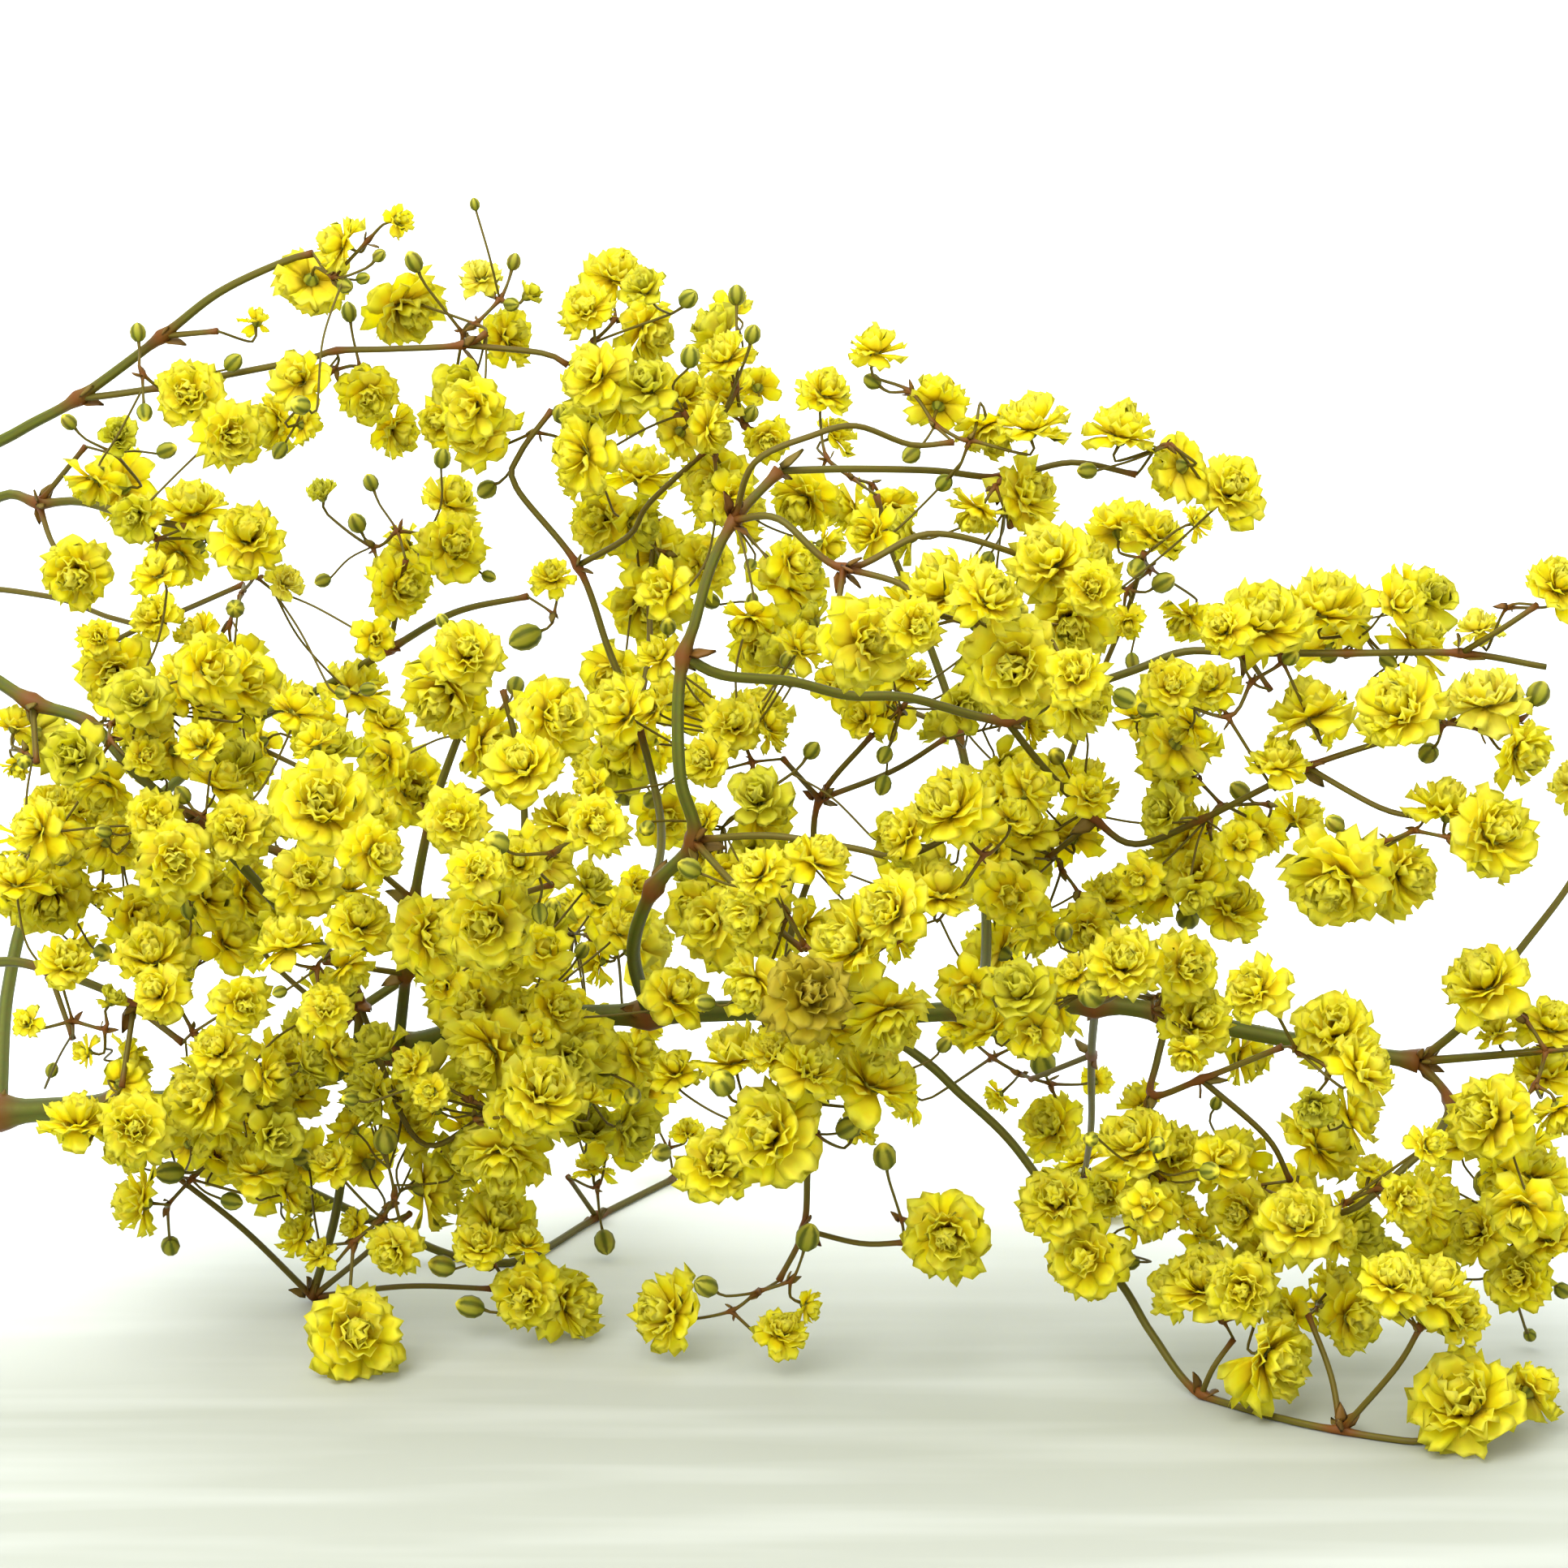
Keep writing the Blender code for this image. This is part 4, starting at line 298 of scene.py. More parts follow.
# Buds that the solids have too, as picture points and radius in pixels
budSpots = [
    (170, 410, 12), (85, 520, 12), (178, 508, 12), (430, 385, 13), (467, 315, 10), (183, 648, 13),
    (457, 595, 12), (440, 645, 14), (510, 323, 14), (633, 323, 11), (848, 368, 14), (907, 365, 13),
    (927, 412, 12), (600, 603, 14), (690, 510, 14), (1075, 470, 12), (1163, 595, 12), (1433, 718, 16),
    (1675, 775, 15), (1760, 928, 14), (1528, 975, 14), (1645, 1015, 13), (1895, 855, 16), (290, 750, 14),
    (412, 908, 16), (225, 980, 12), (648, 785, 22), (635, 845, 14), (610, 1040, 16), (770, 980, 18),
    (1000, 925, 12), (1090, 930, 12), (1345, 1225, 20), (1460, 1130, 18), (210, 1535, 14), (210, 1445, 18),
    (475, 1405, 18), (580, 1610, 18), (745, 1530, 17), (870, 1585, 17), (890, 1335, 18), (1090, 1425, 18),
    (995, 1525, 18), (1285, 1310, 20), (1885, 1645, 10), (1925, 1590, 12), (1830, 1460, 18), (68, 680, 9),
]

# How the sprays are laid out: the same values as the solids use
layoutRules = {
    "clearance": 0.35 * mm,
    "sameSprayRoom": 1.02,
    "seatGap": 0.15 * mm,
    "seatRoom": 1.5 * mm,
    "seatShares": (0, 0.98, 99),
    "nearRoom": 2 * mm,
    "nearRounds": 8,
    "atOnce": 400,
    "meetingShares": (0.2, 0.5, 0.8),
    "stalkRoom": 1.2,
    "tipSlip": 0.15,
    "tipShare": 0.15,
    "pushShare": 0.8,
    "bendEase": 0.12,
    "homeEase": 0.02,
    "forkShare": 0.5,
    "nearestShare": 0.6,
    "solidStalkRadius": 0.32 * mm,
    "solidStalkSwell": 0.05 * mm,
    "jointSwell": 1.5,
    "jointLength": 1.4 * mm,
    "span": 18 * mm,
    "bow": 0.05,
    "shortestStalk": 3.5 * mm,
    "bloomFoot": 0.7,
    "depthSpread": 0.55,
    "depthRange": (-46 * mm, 64 * mm),
    "sameSpot": 0.1 * mm,
    "jointShare": 0.45,
    "leastSpread": 2,
    "tipStalk": 0.7,
    "seed": 13,
    "rounds": 120,
}


def unit(vector):
    # the same direction, one long
    return vector / np.linalg.norm(vector)


# the directions away from the viewer and up in the picture, the point that the viewer looks at, and the eye
lookAway = np.array((0.0, math.cos(seen["tilt"]), -math.sin(seen["tilt"])))
lookUp = np.array((0.0, math.sin(seen["tilt"]), math.cos(seen["tilt"])))
lookedAt = np.array((0.0, 0.0, seen["height"]))
eye = lookedAt - lookAway * seen["distance"]


def spot(across, down, depth, lift=0.0):
    # eye + ray * reach: the place of a picture point at a depth or, on the floor, at a height
    turn = ((across - seen["middle"]) * seen["pixel"] / seen["distance"],
            (seen["middle"] - down) * seen["pixel"] / seen["distance"])
    ray = np.array((turn[0], 0.0, 0.0)) + lookAway + lookUp * turn[1]
    reach = (lift - eye[2]) / ray[2] if depth is onFloor else (depth * mm - eye[1]) / ray[1]
    return eye + ray * reach


def pictured(place):
    # where a place shows in the photograph, in pixels: the inverse of spot()
    ray = place - eye
    scale = seen["distance"] / seen["pixel"] / (ray @ lookAway)
    return seen["middle"] + ray[0] * scale, seen["middle"] - (ray @ lookUp) * scale


def sight(place):
    # the direction in which the viewer sees a place
    return unit(place - lookedAt + lookAway * seen["distance"])


def smoothLine(knots, radii, span):
    # Catmull-Rom: 0.5 (2b + (c - a) t + (2a - 5b + 4c - d) t^2 + (3b - a - 3c + d) t^3) in each stretch
    ends = np.vstack((2 * knots[0] - knots[1], knots, 2 * knots[-1] - knots[-2]))
    places, widths = [], []
    for i in range(len(knots) - 1):
        a, b, c, d = ends[i:i + 4]
        steps = max(1, math.ceil(np.linalg.norm(c - b) / span))
        t = (np.arange(steps) / steps)[:, None]
        places.append(0.5 * (2 * b + (c - a) * t + (2 * a - 5 * b + 4 * c - d) * t ** 2
                             + (3 * b - a - 3 * c + d) * t ** 3))
        widths.append(radii[i] + (radii[i + 1] - radii[i]) * t[:, 0])
    return np.vstack(places + [knots[-1:]]), np.concatenate(widths + [[radii[-1]]])


def withJoints(places, widths, joints):
    # the solids' line, with a short swelling where another twig starts
    out, thick = [], []
    for i, place in enumerate(places):
        nearest = min((np.linalg.norm(place - j) for j in joints), default=1.0)
        swells = 0 < i < len(places) - 1 and nearest < layoutRules["sameSpot"]
        if not swells:
            out.append(place)
            thick.append(widths[i])
            continue
        for other, share in ((places[i - 1], 1), (place, layoutRules["jointSwell"]), (places[i + 1], 1)):
            step = other - place
            length = np.linalg.norm(step)
            most = layoutRules["jointShare"]
            out.append(place + (step * min(layoutRules["jointLength"] / length, most) if length > 0 else 0))
            thick.append(widths[i] * share)
    return np.array(out), np.array(thick)


def room(place, lines):
    # the distance from a place to the skin of the nearest line, and that line's direction
    best, heading = 1.0, None
    for places, widths in lines:
        a, b = places[:-1], places[1:]
        along = b - a
        t = np.clip(((place - a) * along).sum(1) / (along ** 2).sum(1), 0, 1)
        gap = np.linalg.norm(place - a - along * t[:, None], axis=1)
        gap = gap - widths[:-1] - (widths[1:] - widths[:-1]) * t
        nearest = int(np.argmin(gap))
        if gap[nearest] < best:
            best, heading = gap[nearest], unit(along[nearest])
    return best, heading


def seated(places, lines, radius):
    # the line cut back until the edge of its flat end stands clear of what carries it by seatGap
    places = np.array(places)
    while len(places) > 2 and room(places[1], lines)[0] < layoutRules["seatGap"] + radius:
        places = places[1:]
    start, step = places[0], places[1] - places[0]
    for share in np.linspace(*layoutRules["seatShares"]):
        gap, heading = room(start + step * share, lines)
        if gap >= layoutRules["seatGap"] + radius * abs(unit(step) @ heading):
            break
    places[0] = start + step * share
    return places


def layLimbs():
    # the solids' lines of each limb, and the knots and radii that the finer stems run through
    starts = [spot(*twig[2][0]) for _, _, twigs in limbRoutes.values() for twig in twigs]
    limbs, courses = {}, {}
    for name, (carrier, _, twigs) in limbRoutes.items():
        limbs[name], courses[name] = [], []
        for number, (first, last, points) in enumerate(twigs):
            radii = np.linspace(first, last, len(points)) * mm
            knots = np.array([spot(*p, lift=r) for p, r in zip(points, radii)])
            courses[name].append((knots, radii))
            places, widths = smoothLine(knots, radii, layoutRules["span"])
            joints = [s for s in starts if np.linalg.norm(s - knots[0]) > layoutRules["sameSpot"]]
            places, widths = withJoints(places, widths, joints)
            places[:, 2] = np.maximum(places[:, 2], widths)
            if carrier and number == 0:
                kept = seated(places, limbs[carrier], widths[0])
                places, widths = kept, widths[len(widths) - len(kept):]
            limbs[name].append((places, widths))
    return limbs, courses


class Layout:
    # every point of the sprays, and the stalks that run through them
    def __init__(self):
        self.place, self.radius, self.kind, self.node = [], [], [], []
        self.stalks = []
        self.load = {}

    def add(self, place, kind, node, radius=0.0):
        self.place.append(np.array(place))
        self.kind.append(kind)
        self.node.append(node)
        self.radius.append(radius)
        return len(self.place) - 1

    def stretch(self, stalk, place, draws):
        # bends at even steps towards a place, off the straight line by bow 4 t (1 - t)
        node, start = self.node[stalk[-1]], self.place[stalk[-1]]
        step = place - start
        bends = math.ceil(np.linalg.norm(step) / layoutRules["span"]) - 1
        bow = np.cross(step, draws.normal(size=3)) * layoutRules["bow"]
        for k in range(1, bends + 1):
            t = k / (bends + 1)
            stalk.append(self.add(start + step * t + bow * 4 * t * (1 - t), "bend", node))

    def fork(self, stalk, tips, draws):
        # the tip that lies best along the stalk ends it, and the others fork off to its two sides
        start, node = self.place[stalk[-1]], self.node[stalk[-1]]
        places = np.array([tip[0] for tip in tips])
        if len(tips) == 1:
            self.stretch(stalk, places[0], draws)
            stalk.append(self.add(places[0], tips[0][2], node, tips[0][1]))
            self.stalks.append(stalk)
            return
        reach = places.mean(0) - start
        nearest = np.linalg.norm(places - start, axis=1).min()
        far = np.linalg.norm(reach)
        share = min(layoutRules["forkShare"], layoutRules["nearestShare"] * nearest / far)
        jointPlace = start + reach * max(share, layoutRules["shortestStalk"] / far)
        self.stretch(stalk, jointPlace, draws)
        joint = self.add(jointPlace, "joint", node)
        offsets = places - jointPlace
        along = offsets @ unit(reach) / np.linalg.norm(offsets, axis=1)
        last = int(np.argmax(along))
        others = [i for i in range(len(tips)) if i != last]
        self.fork(stalk + [joint], [tips[last]], draws)
        if len(others) == 1:
            self.fork([joint], [tips[others[0]]], draws)
            return
        across = offsets[others] - np.outer(offsets[others] @ unit(reach), unit(reach))
        side = across @ np.linalg.svd(across - across.mean(0))[2][0]
        order = [others[i] for i in np.argsort(side)]
        half = len(order) // 2
        self.fork([joint], [tips[i] for i in order[:half]], draws)
        self.fork([joint], [tips[i] for i in order[half:]], draws)


def placeTips(bases, draws):
    # each bloom and bud belongs to the spray whose foot is nearest in the picture, at a drawn depth
    feet = np.array([(base[1], base[2]) for base in bases], float)
    tips = [[] for _ in bases]
    pixel = seen["pixel"]
    for kind, spots in (("bloom", bloomSpots), ("bud", budSpots)):
        for across, down, size in spots:
            apart = np.hypot(feet[:, 0] - across, feet[:, 1] - down)
            home = int(np.argmin(apart))
            spread = layoutRules["depthSpread"] * apart[home] * pixel / mm + layoutRules["leastSpread"]
            depth = bases[home][3] + bases[home][4] + spread * draws.uniform(-1, 1)
            size = size * pixel
            lowest = spot(across, down, onFloor, lift=size)[1] / mm
            nearest, furthest = layoutRules["depthRange"]
            depth = float(np.clip(min(depth, lowest), nearest / mm, furthest / mm))
            tips[home].append((spot(across, down, depth), size, kind))
    return tips


def laySprays(limbs):
    # each spray's tips, forked down to one foot on its limb, and how many stalks run through each point
    draws = np.random.default_rng(layoutRules["seed"])
    bases = []
    for limb, across, down, lean in sprayFeet:
        depth = next(point[2] for _, _, points in limbRoutes[limb][2] for point in points
                     if point[:2] == (across, down))
        if depth is onFloor:
            depth = spot(across, down, onFloor)[1] / mm
        bases.append((limb, across, down, depth, lean))
    layout = Layout()
    for number, (base, tips) in enumerate(zip(bases, placeTips(bases, draws))):
        limb, across, down, depth, _ = base
        if not tips:
            continue
        node = limb if limbRoutes[limb][1] else f"spray_{number + 1:02d}"
        grown = np.vstack([places for places, _ in limbs[limb]])
        away = np.linalg.norm(grown - spot(across, down, depth), axis=1)
        first = layout.add(grown[np.argmin(away)], "base", node)
        layout.fork([first], tips, draws)
    for stalk in layout.stalks:
        for i in stalk:
            layout.load[i] = layout.load.get(i, 0) + 1
    return layout


def solidStalkWidth(load):
    # thicker by the root of how many more stalks run through it
    return layoutRules["solidStalkRadius"] + layoutRules["solidStalkSwell"] * math.sqrt(load - 1)


def pushClear(layout, limbs):
    # Moves the points apart, round by round, until nothing meets what isn't its own node. A bloom moves
    # along the line of sight, so that it stays where the photograph shows it, and stalks move any way.
    rules = layoutRules
    place = np.array(layout.place)
    kinds = np.array(layout.kind)
    tip = (kinds == "bloom") | (kinds == "bud")
    size = np.array(layout.radius)
    widths = np.array([solidStalkWidth(layout.load[i]) for i in range(len(place))])
    names = sorted(set(layout.node) | set(limbs))
    node = np.array([names.index(n) for n in layout.node])
    home = place.copy()
    sights = np.array([sight(p) for p in place])
    a = np.array([i for s in layout.stalks for i in s[:-1]])
    b = np.array([j for s in layout.stalks for j in s[1:]])
    shares = rules["meetingShares"]
    first = np.concatenate([a] * len(shares) + [np.flatnonzero(tip)])
    second = np.concatenate([b] * len(shares) + [np.flatnonzero(tip)])
    share = np.concatenate([np.full(len(a), t) for t in shares] + [np.zeros(tip.sum())])
    isTip = np.arange(len(first)) >= len(a) * len(shares)
    skin = np.where(isTip, size[first], widths[first] * rules["stalkRoom"])
    owner = node[first]
    wood, woodSkin, woodOwner = [], [], []
    for name, lines in limbs.items():
        for points, thick in lines:
            for k in range(len(points) - 1):
                count = max(2, math.ceil(np.linalg.norm(points[k + 1] - points[k]) / mm))
                t = np.linspace(0, 1, count)[:, None]
                wood.append(points[k] + (points[k + 1] - points[k]) * t)
                woodSkin += list(thick[k] + (thick[k + 1] - thick[k]) * t[:, 0])
                woodOwner += [names.index(name)] * count
    wood = np.vstack(wood)
    allSkin = np.concatenate((skin, woodSkin))
    allOwner = np.concatenate((owner, woodOwner))
    free = len(first)
    fixed = kinds == "base"
    shortest = np.where(tip[b], size[b] * rules["bloomFoot"] + rules["tipStalk"] * rules["shortestStalk"],
                        rules["shortestStalk"])
    neighbours = {}
    for i, j in zip(a, b):
        neighbours.setdefault(i, []).append(j)
        neighbours.setdefault(j, []).append(i)
    bends = [(i, n) for i, n in neighbours.items() if kinds[i] == "bend"]
    for step in range(rules["rounds"]):
        samples = place[first] * (1 - share[:, None]) + place[second] * share[:, None]
        whole = np.vstack((samples, wood))
        if step % rules["nearRounds"] == 0:
            near = []
            for i in range(0, free, rules["atOnce"]):
                part = np.linalg.norm(whole[None, :] - samples[i:i + rules["atOnce"], None], axis=2)
                reach = allSkin[None, :] + skin[i:i + rules["atOnce"], None] + rules["clearance"] + rules["nearRoom"]
                rows, columns = np.nonzero(part < reach)
                rows = rows + i
                other = np.minimum(columns, free - 1)
                apart = allOwner[columns] != allOwner[rows]
                kin = (second[rows] == first[other]) | (second[other] == first[rows])
                headed = (columns < free) & (isTip[other] | isTip[rows]) & ~kin
                keep = (columns > rows) & (apart | headed)
                near.append(np.stack((rows[keep], columns[keep])))
            rows, columns = np.hstack(near)
            seat = np.linalg.norm(samples[rows] - place[first[rows]], axis=1) < rules["seatRoom"]
            seat &= fixed[first[rows]]
            keep = ~(seat & (columns >= free))
            rows, columns = rows[keep], columns[keep]
        gap = whole[columns] - whole[rows]
        length = np.linalg.norm(gap, axis=1) + 1e-9
        same = allOwner[columns] == allOwner[rows]
        need = allSkin[columns] + allSkin[rows]
        need = np.where(same, need * rules["sameSprayRoom"], need + rules["clearance"])
        hit = length < need
        if not hit.any():
            break
        r, c = rows[hit], columns[hit]
        short, away = (need - length)[hit], (gap / length[:, None])[hit]
        push = np.zeros_like(place)
        weight = np.zeros(len(place))
        wooden = c >= free
        cFree = np.minimum(c, free - 1)
        tipsBoth = ~wooden & isTip[r] & isTip[cFree]
        see = sights[first[r]]
        deep = (gap[hit] * see).sum(1)
        flat = np.sqrt(np.maximum(length[hit] ** 2 - deep ** 2, 0))
        wanted = np.sqrt(np.maximum(need[hit] ** 2 - flat ** 2, 0))
        turn = np.where(deep >= 0, 1.0, -1.0)
        deeper = see * ((wanted - np.abs(deep)) * turn)[:, None]
        move = np.where(tipsBoth[:, None], deeper, away * short[:, None])
        tipR, tipC = isTip[r], ~wooden & isTip[cFree]
        single = np.where(tipR, rules["tipShare"], 1 - rules["tipShare"])
        partR = np.where(wooden, 1.0, np.where(tipR == tipC, 0.5, single))
        for index, side, amount in ((r, -1, partR), (cFree, 1, 1 - partR)):
            use = np.ones(len(index), bool) if side < 0 else ~wooden
            for ends, portion in ((first, 1 - share), (second, share)):
                w = portion[index] * (~isTip[index] | (ends is first))
                np.add.at(push, ends[index[use]], (move * (side * amount * w)[:, None])[use])
                np.add.at(weight, ends[index[use]], (w * 0.5)[use])
        push /= np.maximum(weight, 1.0)[:, None] ** 0.5
        push[fixed] = 0
        along = (push * sights).sum(1)
        inSight = sights[tip] * along[tip, None]
        push[tip] = inSight + (push[tip] - inSight) * rules["tipSlip"]
        place += push * rules["pushShare"]
        for i, around in bends:
            place[i] += (place[around].mean(0) - place[i]) * rules["bendEase"]
        stepAB = place[b] - place[a]
        lengthAB = np.linalg.norm(stepAB, axis=1)
        partAB = np.where(fixed[a], 1.0, 0.5)[:, None]
        shortAB = np.maximum(shortest - lengthAB, 0)[:, None] * stepAB / lengthAB[:, None] * partAB
        np.add.at(place, b, shortAB * ~tip[b, None])
        np.add.at(place, a, -shortAB * ~fixed[a, None])
        joints = kinds == "joint"
        place[joints] += (home[joints] - place[joints]) * rules["homeEase"]
        place[:, 1] = np.clip(place[:, 1], *rules["depthRange"])
        low = np.where(tip, size, 2 * rules["solidStalkRadius"])
        sunk = ~fixed & (place[:, 2] < low)
        lift = (low - place[:, 2])[sunk]
        toward = -sights[sunk]
        rise = np.where(tip[sunk], toward[:, 2], 1.0)
        place[sunk] += np.where(tip[sunk, None], toward * (lift / rise)[:, None], lift[:, None] * (0, 0, 1))
    layout.place = list(place)


class Surface:
    # gathers the points, faces, tones and materials of one piece
    def __init__(self):
        self.points, self.tones, self.quads, self.triangles = [], [], [], []
        self.quadKinds, self.triangleKinds = [], []
        self.count = 0

    def add(self, points, tones, quads, triangles=None, kind=0):
        # kind is the number of the material
        self.points.append(points.reshape(-1, 3))
        self.tones.append(tones.reshape(-1, 4))
        self.quads.append(quads.reshape(-1, 4) + self.count)
        self.quadKinds.append(np.full(quads.size // 4, kind))
        if triangles is not None:
            self.triangles.append(triangles.reshape(-1, 3) + self.count)
            self.triangleKinds.append(np.full(triangles.size // 3, kind))
        self.count += points.size // 3

    def build(self, name, materials, settle=0.0):
        # heights under settle become settle e^(height / settle - 1), so that no petal goes through the floor
        points = np.vstack(self.points) + shift
        low = points[:, 2] < settle
        points[low, 2] = settle * np.exp(points[low, 2] / max(settle, 0.1 * mm) - 1)
        quads = np.vstack(self.quads)
        triangles = np.vstack(self.triangles) if self.triangles else np.zeros((0, 3), int)
        kinds = np.concatenate(self.quadKinds + self.triangleKinds).astype(np.int32)
        loops = np.concatenate((quads.ravel(), triangles.ravel())).astype(np.int32)
        sizes = np.concatenate((np.full(len(quads), 4), np.full(len(triangles), 3)))
        mesh = bpy.data.meshes.new(name)
        mesh.vertices.add(len(points))
        mesh.vertices.foreach_set("co", points.ravel().astype(np.float32))
        mesh.loops.add(len(loops))
        mesh.loops.foreach_set("vertex_index", loops)
        mesh.polygons.add(len(sizes))
        mesh.polygons.foreach_set("loop_start", (np.cumsum(sizes) - sizes).astype(np.int32))
        mesh.polygons.foreach_set("use_smooth", np.ones(len(sizes), bool))
        mesh.polygons.foreach_set("material_index", kinds)
        mesh.update(calc_edges=True)
        tone = mesh.attributes.new("tone", "FLOAT_COLOR", "POINT")
        tone.data.foreach_set("color", np.vstack(self.tones).ravel().astype(np.float32))
        mesh.validate()
        for material in materials:
            mesh.materials.append(material)
        piece = bpy.data.objects.new(name, mesh)
        bpy.context.scene.collection.objects.link(piece)
        return piece


def basis(axis):
    # two directions square to the axis, then the axis
    axis = axis / np.linalg.norm(axis, axis=-1, keepdims=True)
    guide = np.where(np.abs(axis[..., 2:]) < 0.9, (0, 0, 1.0), (1.0, 0, 0))
    first = np.cross(guide, axis)
    first /= np.linalg.norm(first, axis=-1, keepdims=True)
    return np.stack((first, np.cross(axis, first), axis), -2)


def sheetFaces(rows, columns):
    # a lens: an upper grid, and a lower grid that shares the upper one's border
    upper = np.arange(rows * columns).reshape(rows, columns)
    lower = upper.copy()
    lower[1:-1, 1:-1] = rows * columns + np.arange((rows - 2) * (columns - 2)).reshape(rows - 2, columns - 2)
    top = np.stack((upper[:-1, :-1], upper[1:, :-1], upper[1:, 1:], upper[:-1, 1:]), -1).reshape(-1, 4)
    bottom = np.stack((lower[:-1, :-1], lower[:-1, 1:], lower[1:, 1:], lower[1:, :-1]), -1).reshape(-1, 4)
    return np.vstack((top, bottom))


# How rough the rim of a petal is: shares of its fringe, its ruffle and its tone
rim = {
    "fringe": (0.4, 0.8),
    "ruffle": (0.7, 0.4),
    "tone": 0.12,
}


def sheets(surface, base, axes, shape, look, tones, draws):
    # Thin curved sheets. From its foot, a sheet's middle line leans from the axis by lean + curl v, so
    # across = length (cos lean - cos angle) / curl and along = length (sin angle - sin lean) / curl.
    # Its rim waves by ruffle v^2 zigzag + cup v u^2, and its tip is cut back by roundTip u^2.
    count = len(base)
    rows, columns = len(look["rows"]), shape["columns"]
    lean, curl, length, width = (shape[key][:, None, None] for key in ("lean", "curl", "length", "width"))
    foot, rise, ruffle, sign = (shape[key][:, None, None] for key in ("foot", "rise", "ruffle", "sign"))
    v = np.array(look["rows"])[None, :, None]
    u = np.linspace(-1, 1, columns)[None, None, :]
    zigzag = np.cos(np.arange(columns) * math.pi)[None, None, :] * sign
    rough = draws.uniform(-1, 1, (count, rows, columns))
    tip = v ** 3
    uneven = rim["fringe"][0] * zigzag + rim["fringe"][1] * rough
    reach = v - tip * shape["roundTip"] * u ** 2 + tip * shape["fringe"] * uneven
    angle = lean + curl * reach
    across = length * (np.cos(lean) - np.cos(angle)) / curl + foot
    along = length * (np.sin(angle) - np.sin(lean)) / curl + rise
    spread = width * np.array(look["widths"])[None, :, None] * u * (1 + shape["fringe"] * tip * rough)
    uneven = zigzag * (rim["ruffle"][0] + rim["ruffle"][1] * rough)
    wave = (ruffle * v ** 2 * uneven + shape["cup"] * v * u ** 2) * width
    across = across - np.cos(angle) * wave
    along = along + np.sin(angle) * wave
    out = np.stack((np.cos(shape["turn"]), np.sin(shape["turn"])), -1)
    side = np.stack((-out[:, 1], out[:, 0]), -1)
    flat = out[:, None, None, :] * across[..., None] + side[:, None, None, :] * spread[..., None]
    local = np.concatenate((flat, along[..., None]), -1)
    under = local[:, 1:-1, 1:-1].copy()
    inner = angle[:, 1:-1, 1:-1]
    under[..., :2] += out[:, None, None, :] * (np.cos(inner) * shape["thickness"])[..., None]
    under[..., 2] -= np.sin(inner) * shape["thickness"]
    both = np.concatenate((local.reshape(count, -1, 3), under.reshape(count, -1, 3)), 1)
    points = base[:, None, :] + np.einsum("pnk,pkx->pnx", both, axes)
    shade = np.zeros((count, rows, columns, 4))
    shade[..., 0] = np.clip(v * np.ones_like(rough) + rim["tone"] * rough, 0, 1)
    shade[..., 1:] = tones[:, None, None, :]
    shade = np.concatenate((shade.reshape(count, -1, 4), shade[:, 1:-1, 1:-1].reshape(count, -1, 4)), 1)
    faces = sheetFaces(rows, columns)[None] + (np.arange(count) * both.shape[1])[:, None, None]
    surface.add(points, shade, faces)


# A bloom's petals: lengths as shares of the bloom's radius and angles in degrees, outermost then innermost
petalLook = {
    "scale": 1.2,
    "rows": (0.0, 0.45, 0.8, 1.0),
    "widths": (0.3, 0.85, 1.0, 0.84),
    "columns": 5,
    "thickness": 0.08 * mm,
    "roundTip": 0.12,
    "fringe": 0.1,
    "ruffle": 0.36,
    "ruffleRange": (0.5, 1.5),
    "zigzagRange": (0.5, 1.3),
    "cup": 0.2,
    "counts": ((3.2 * mm, 38), (2.4 * mm, 32), (1.8 * mm, 24), (0.0, 15)),
    "plainCount": 0.66,
    "lean": (104, 22),
    "leanPower": 0.8,
    "leanSpread": 0.13,
    "leastLean": 0.03,
    "curl": (34, -62),
    "curlSpread": 16,
    "leastCurl": 0.05,
    "length": (0.98, 1.0),
    "lengthRange": (0.88, 1.07),
    "drawnIn": 0.95,
    "swing": 0.1,
    "width": (0.42, 0.24),
    "widthRange": (0.85, 1.15),
    "foot": 0.18,
    "mouth": -0.42,
    "turn": 137.5,
    "turnSpread": 0.12,
    "paleness": (0.1, 0.12),
    "greenCloses": 0.75,
    "settle": 1.3 * mm,
}


def between(pair, share):
    # straight from the outermost petal's value to the innermost one's
    return pair[0] + (pair[1] - pair[0]) * share


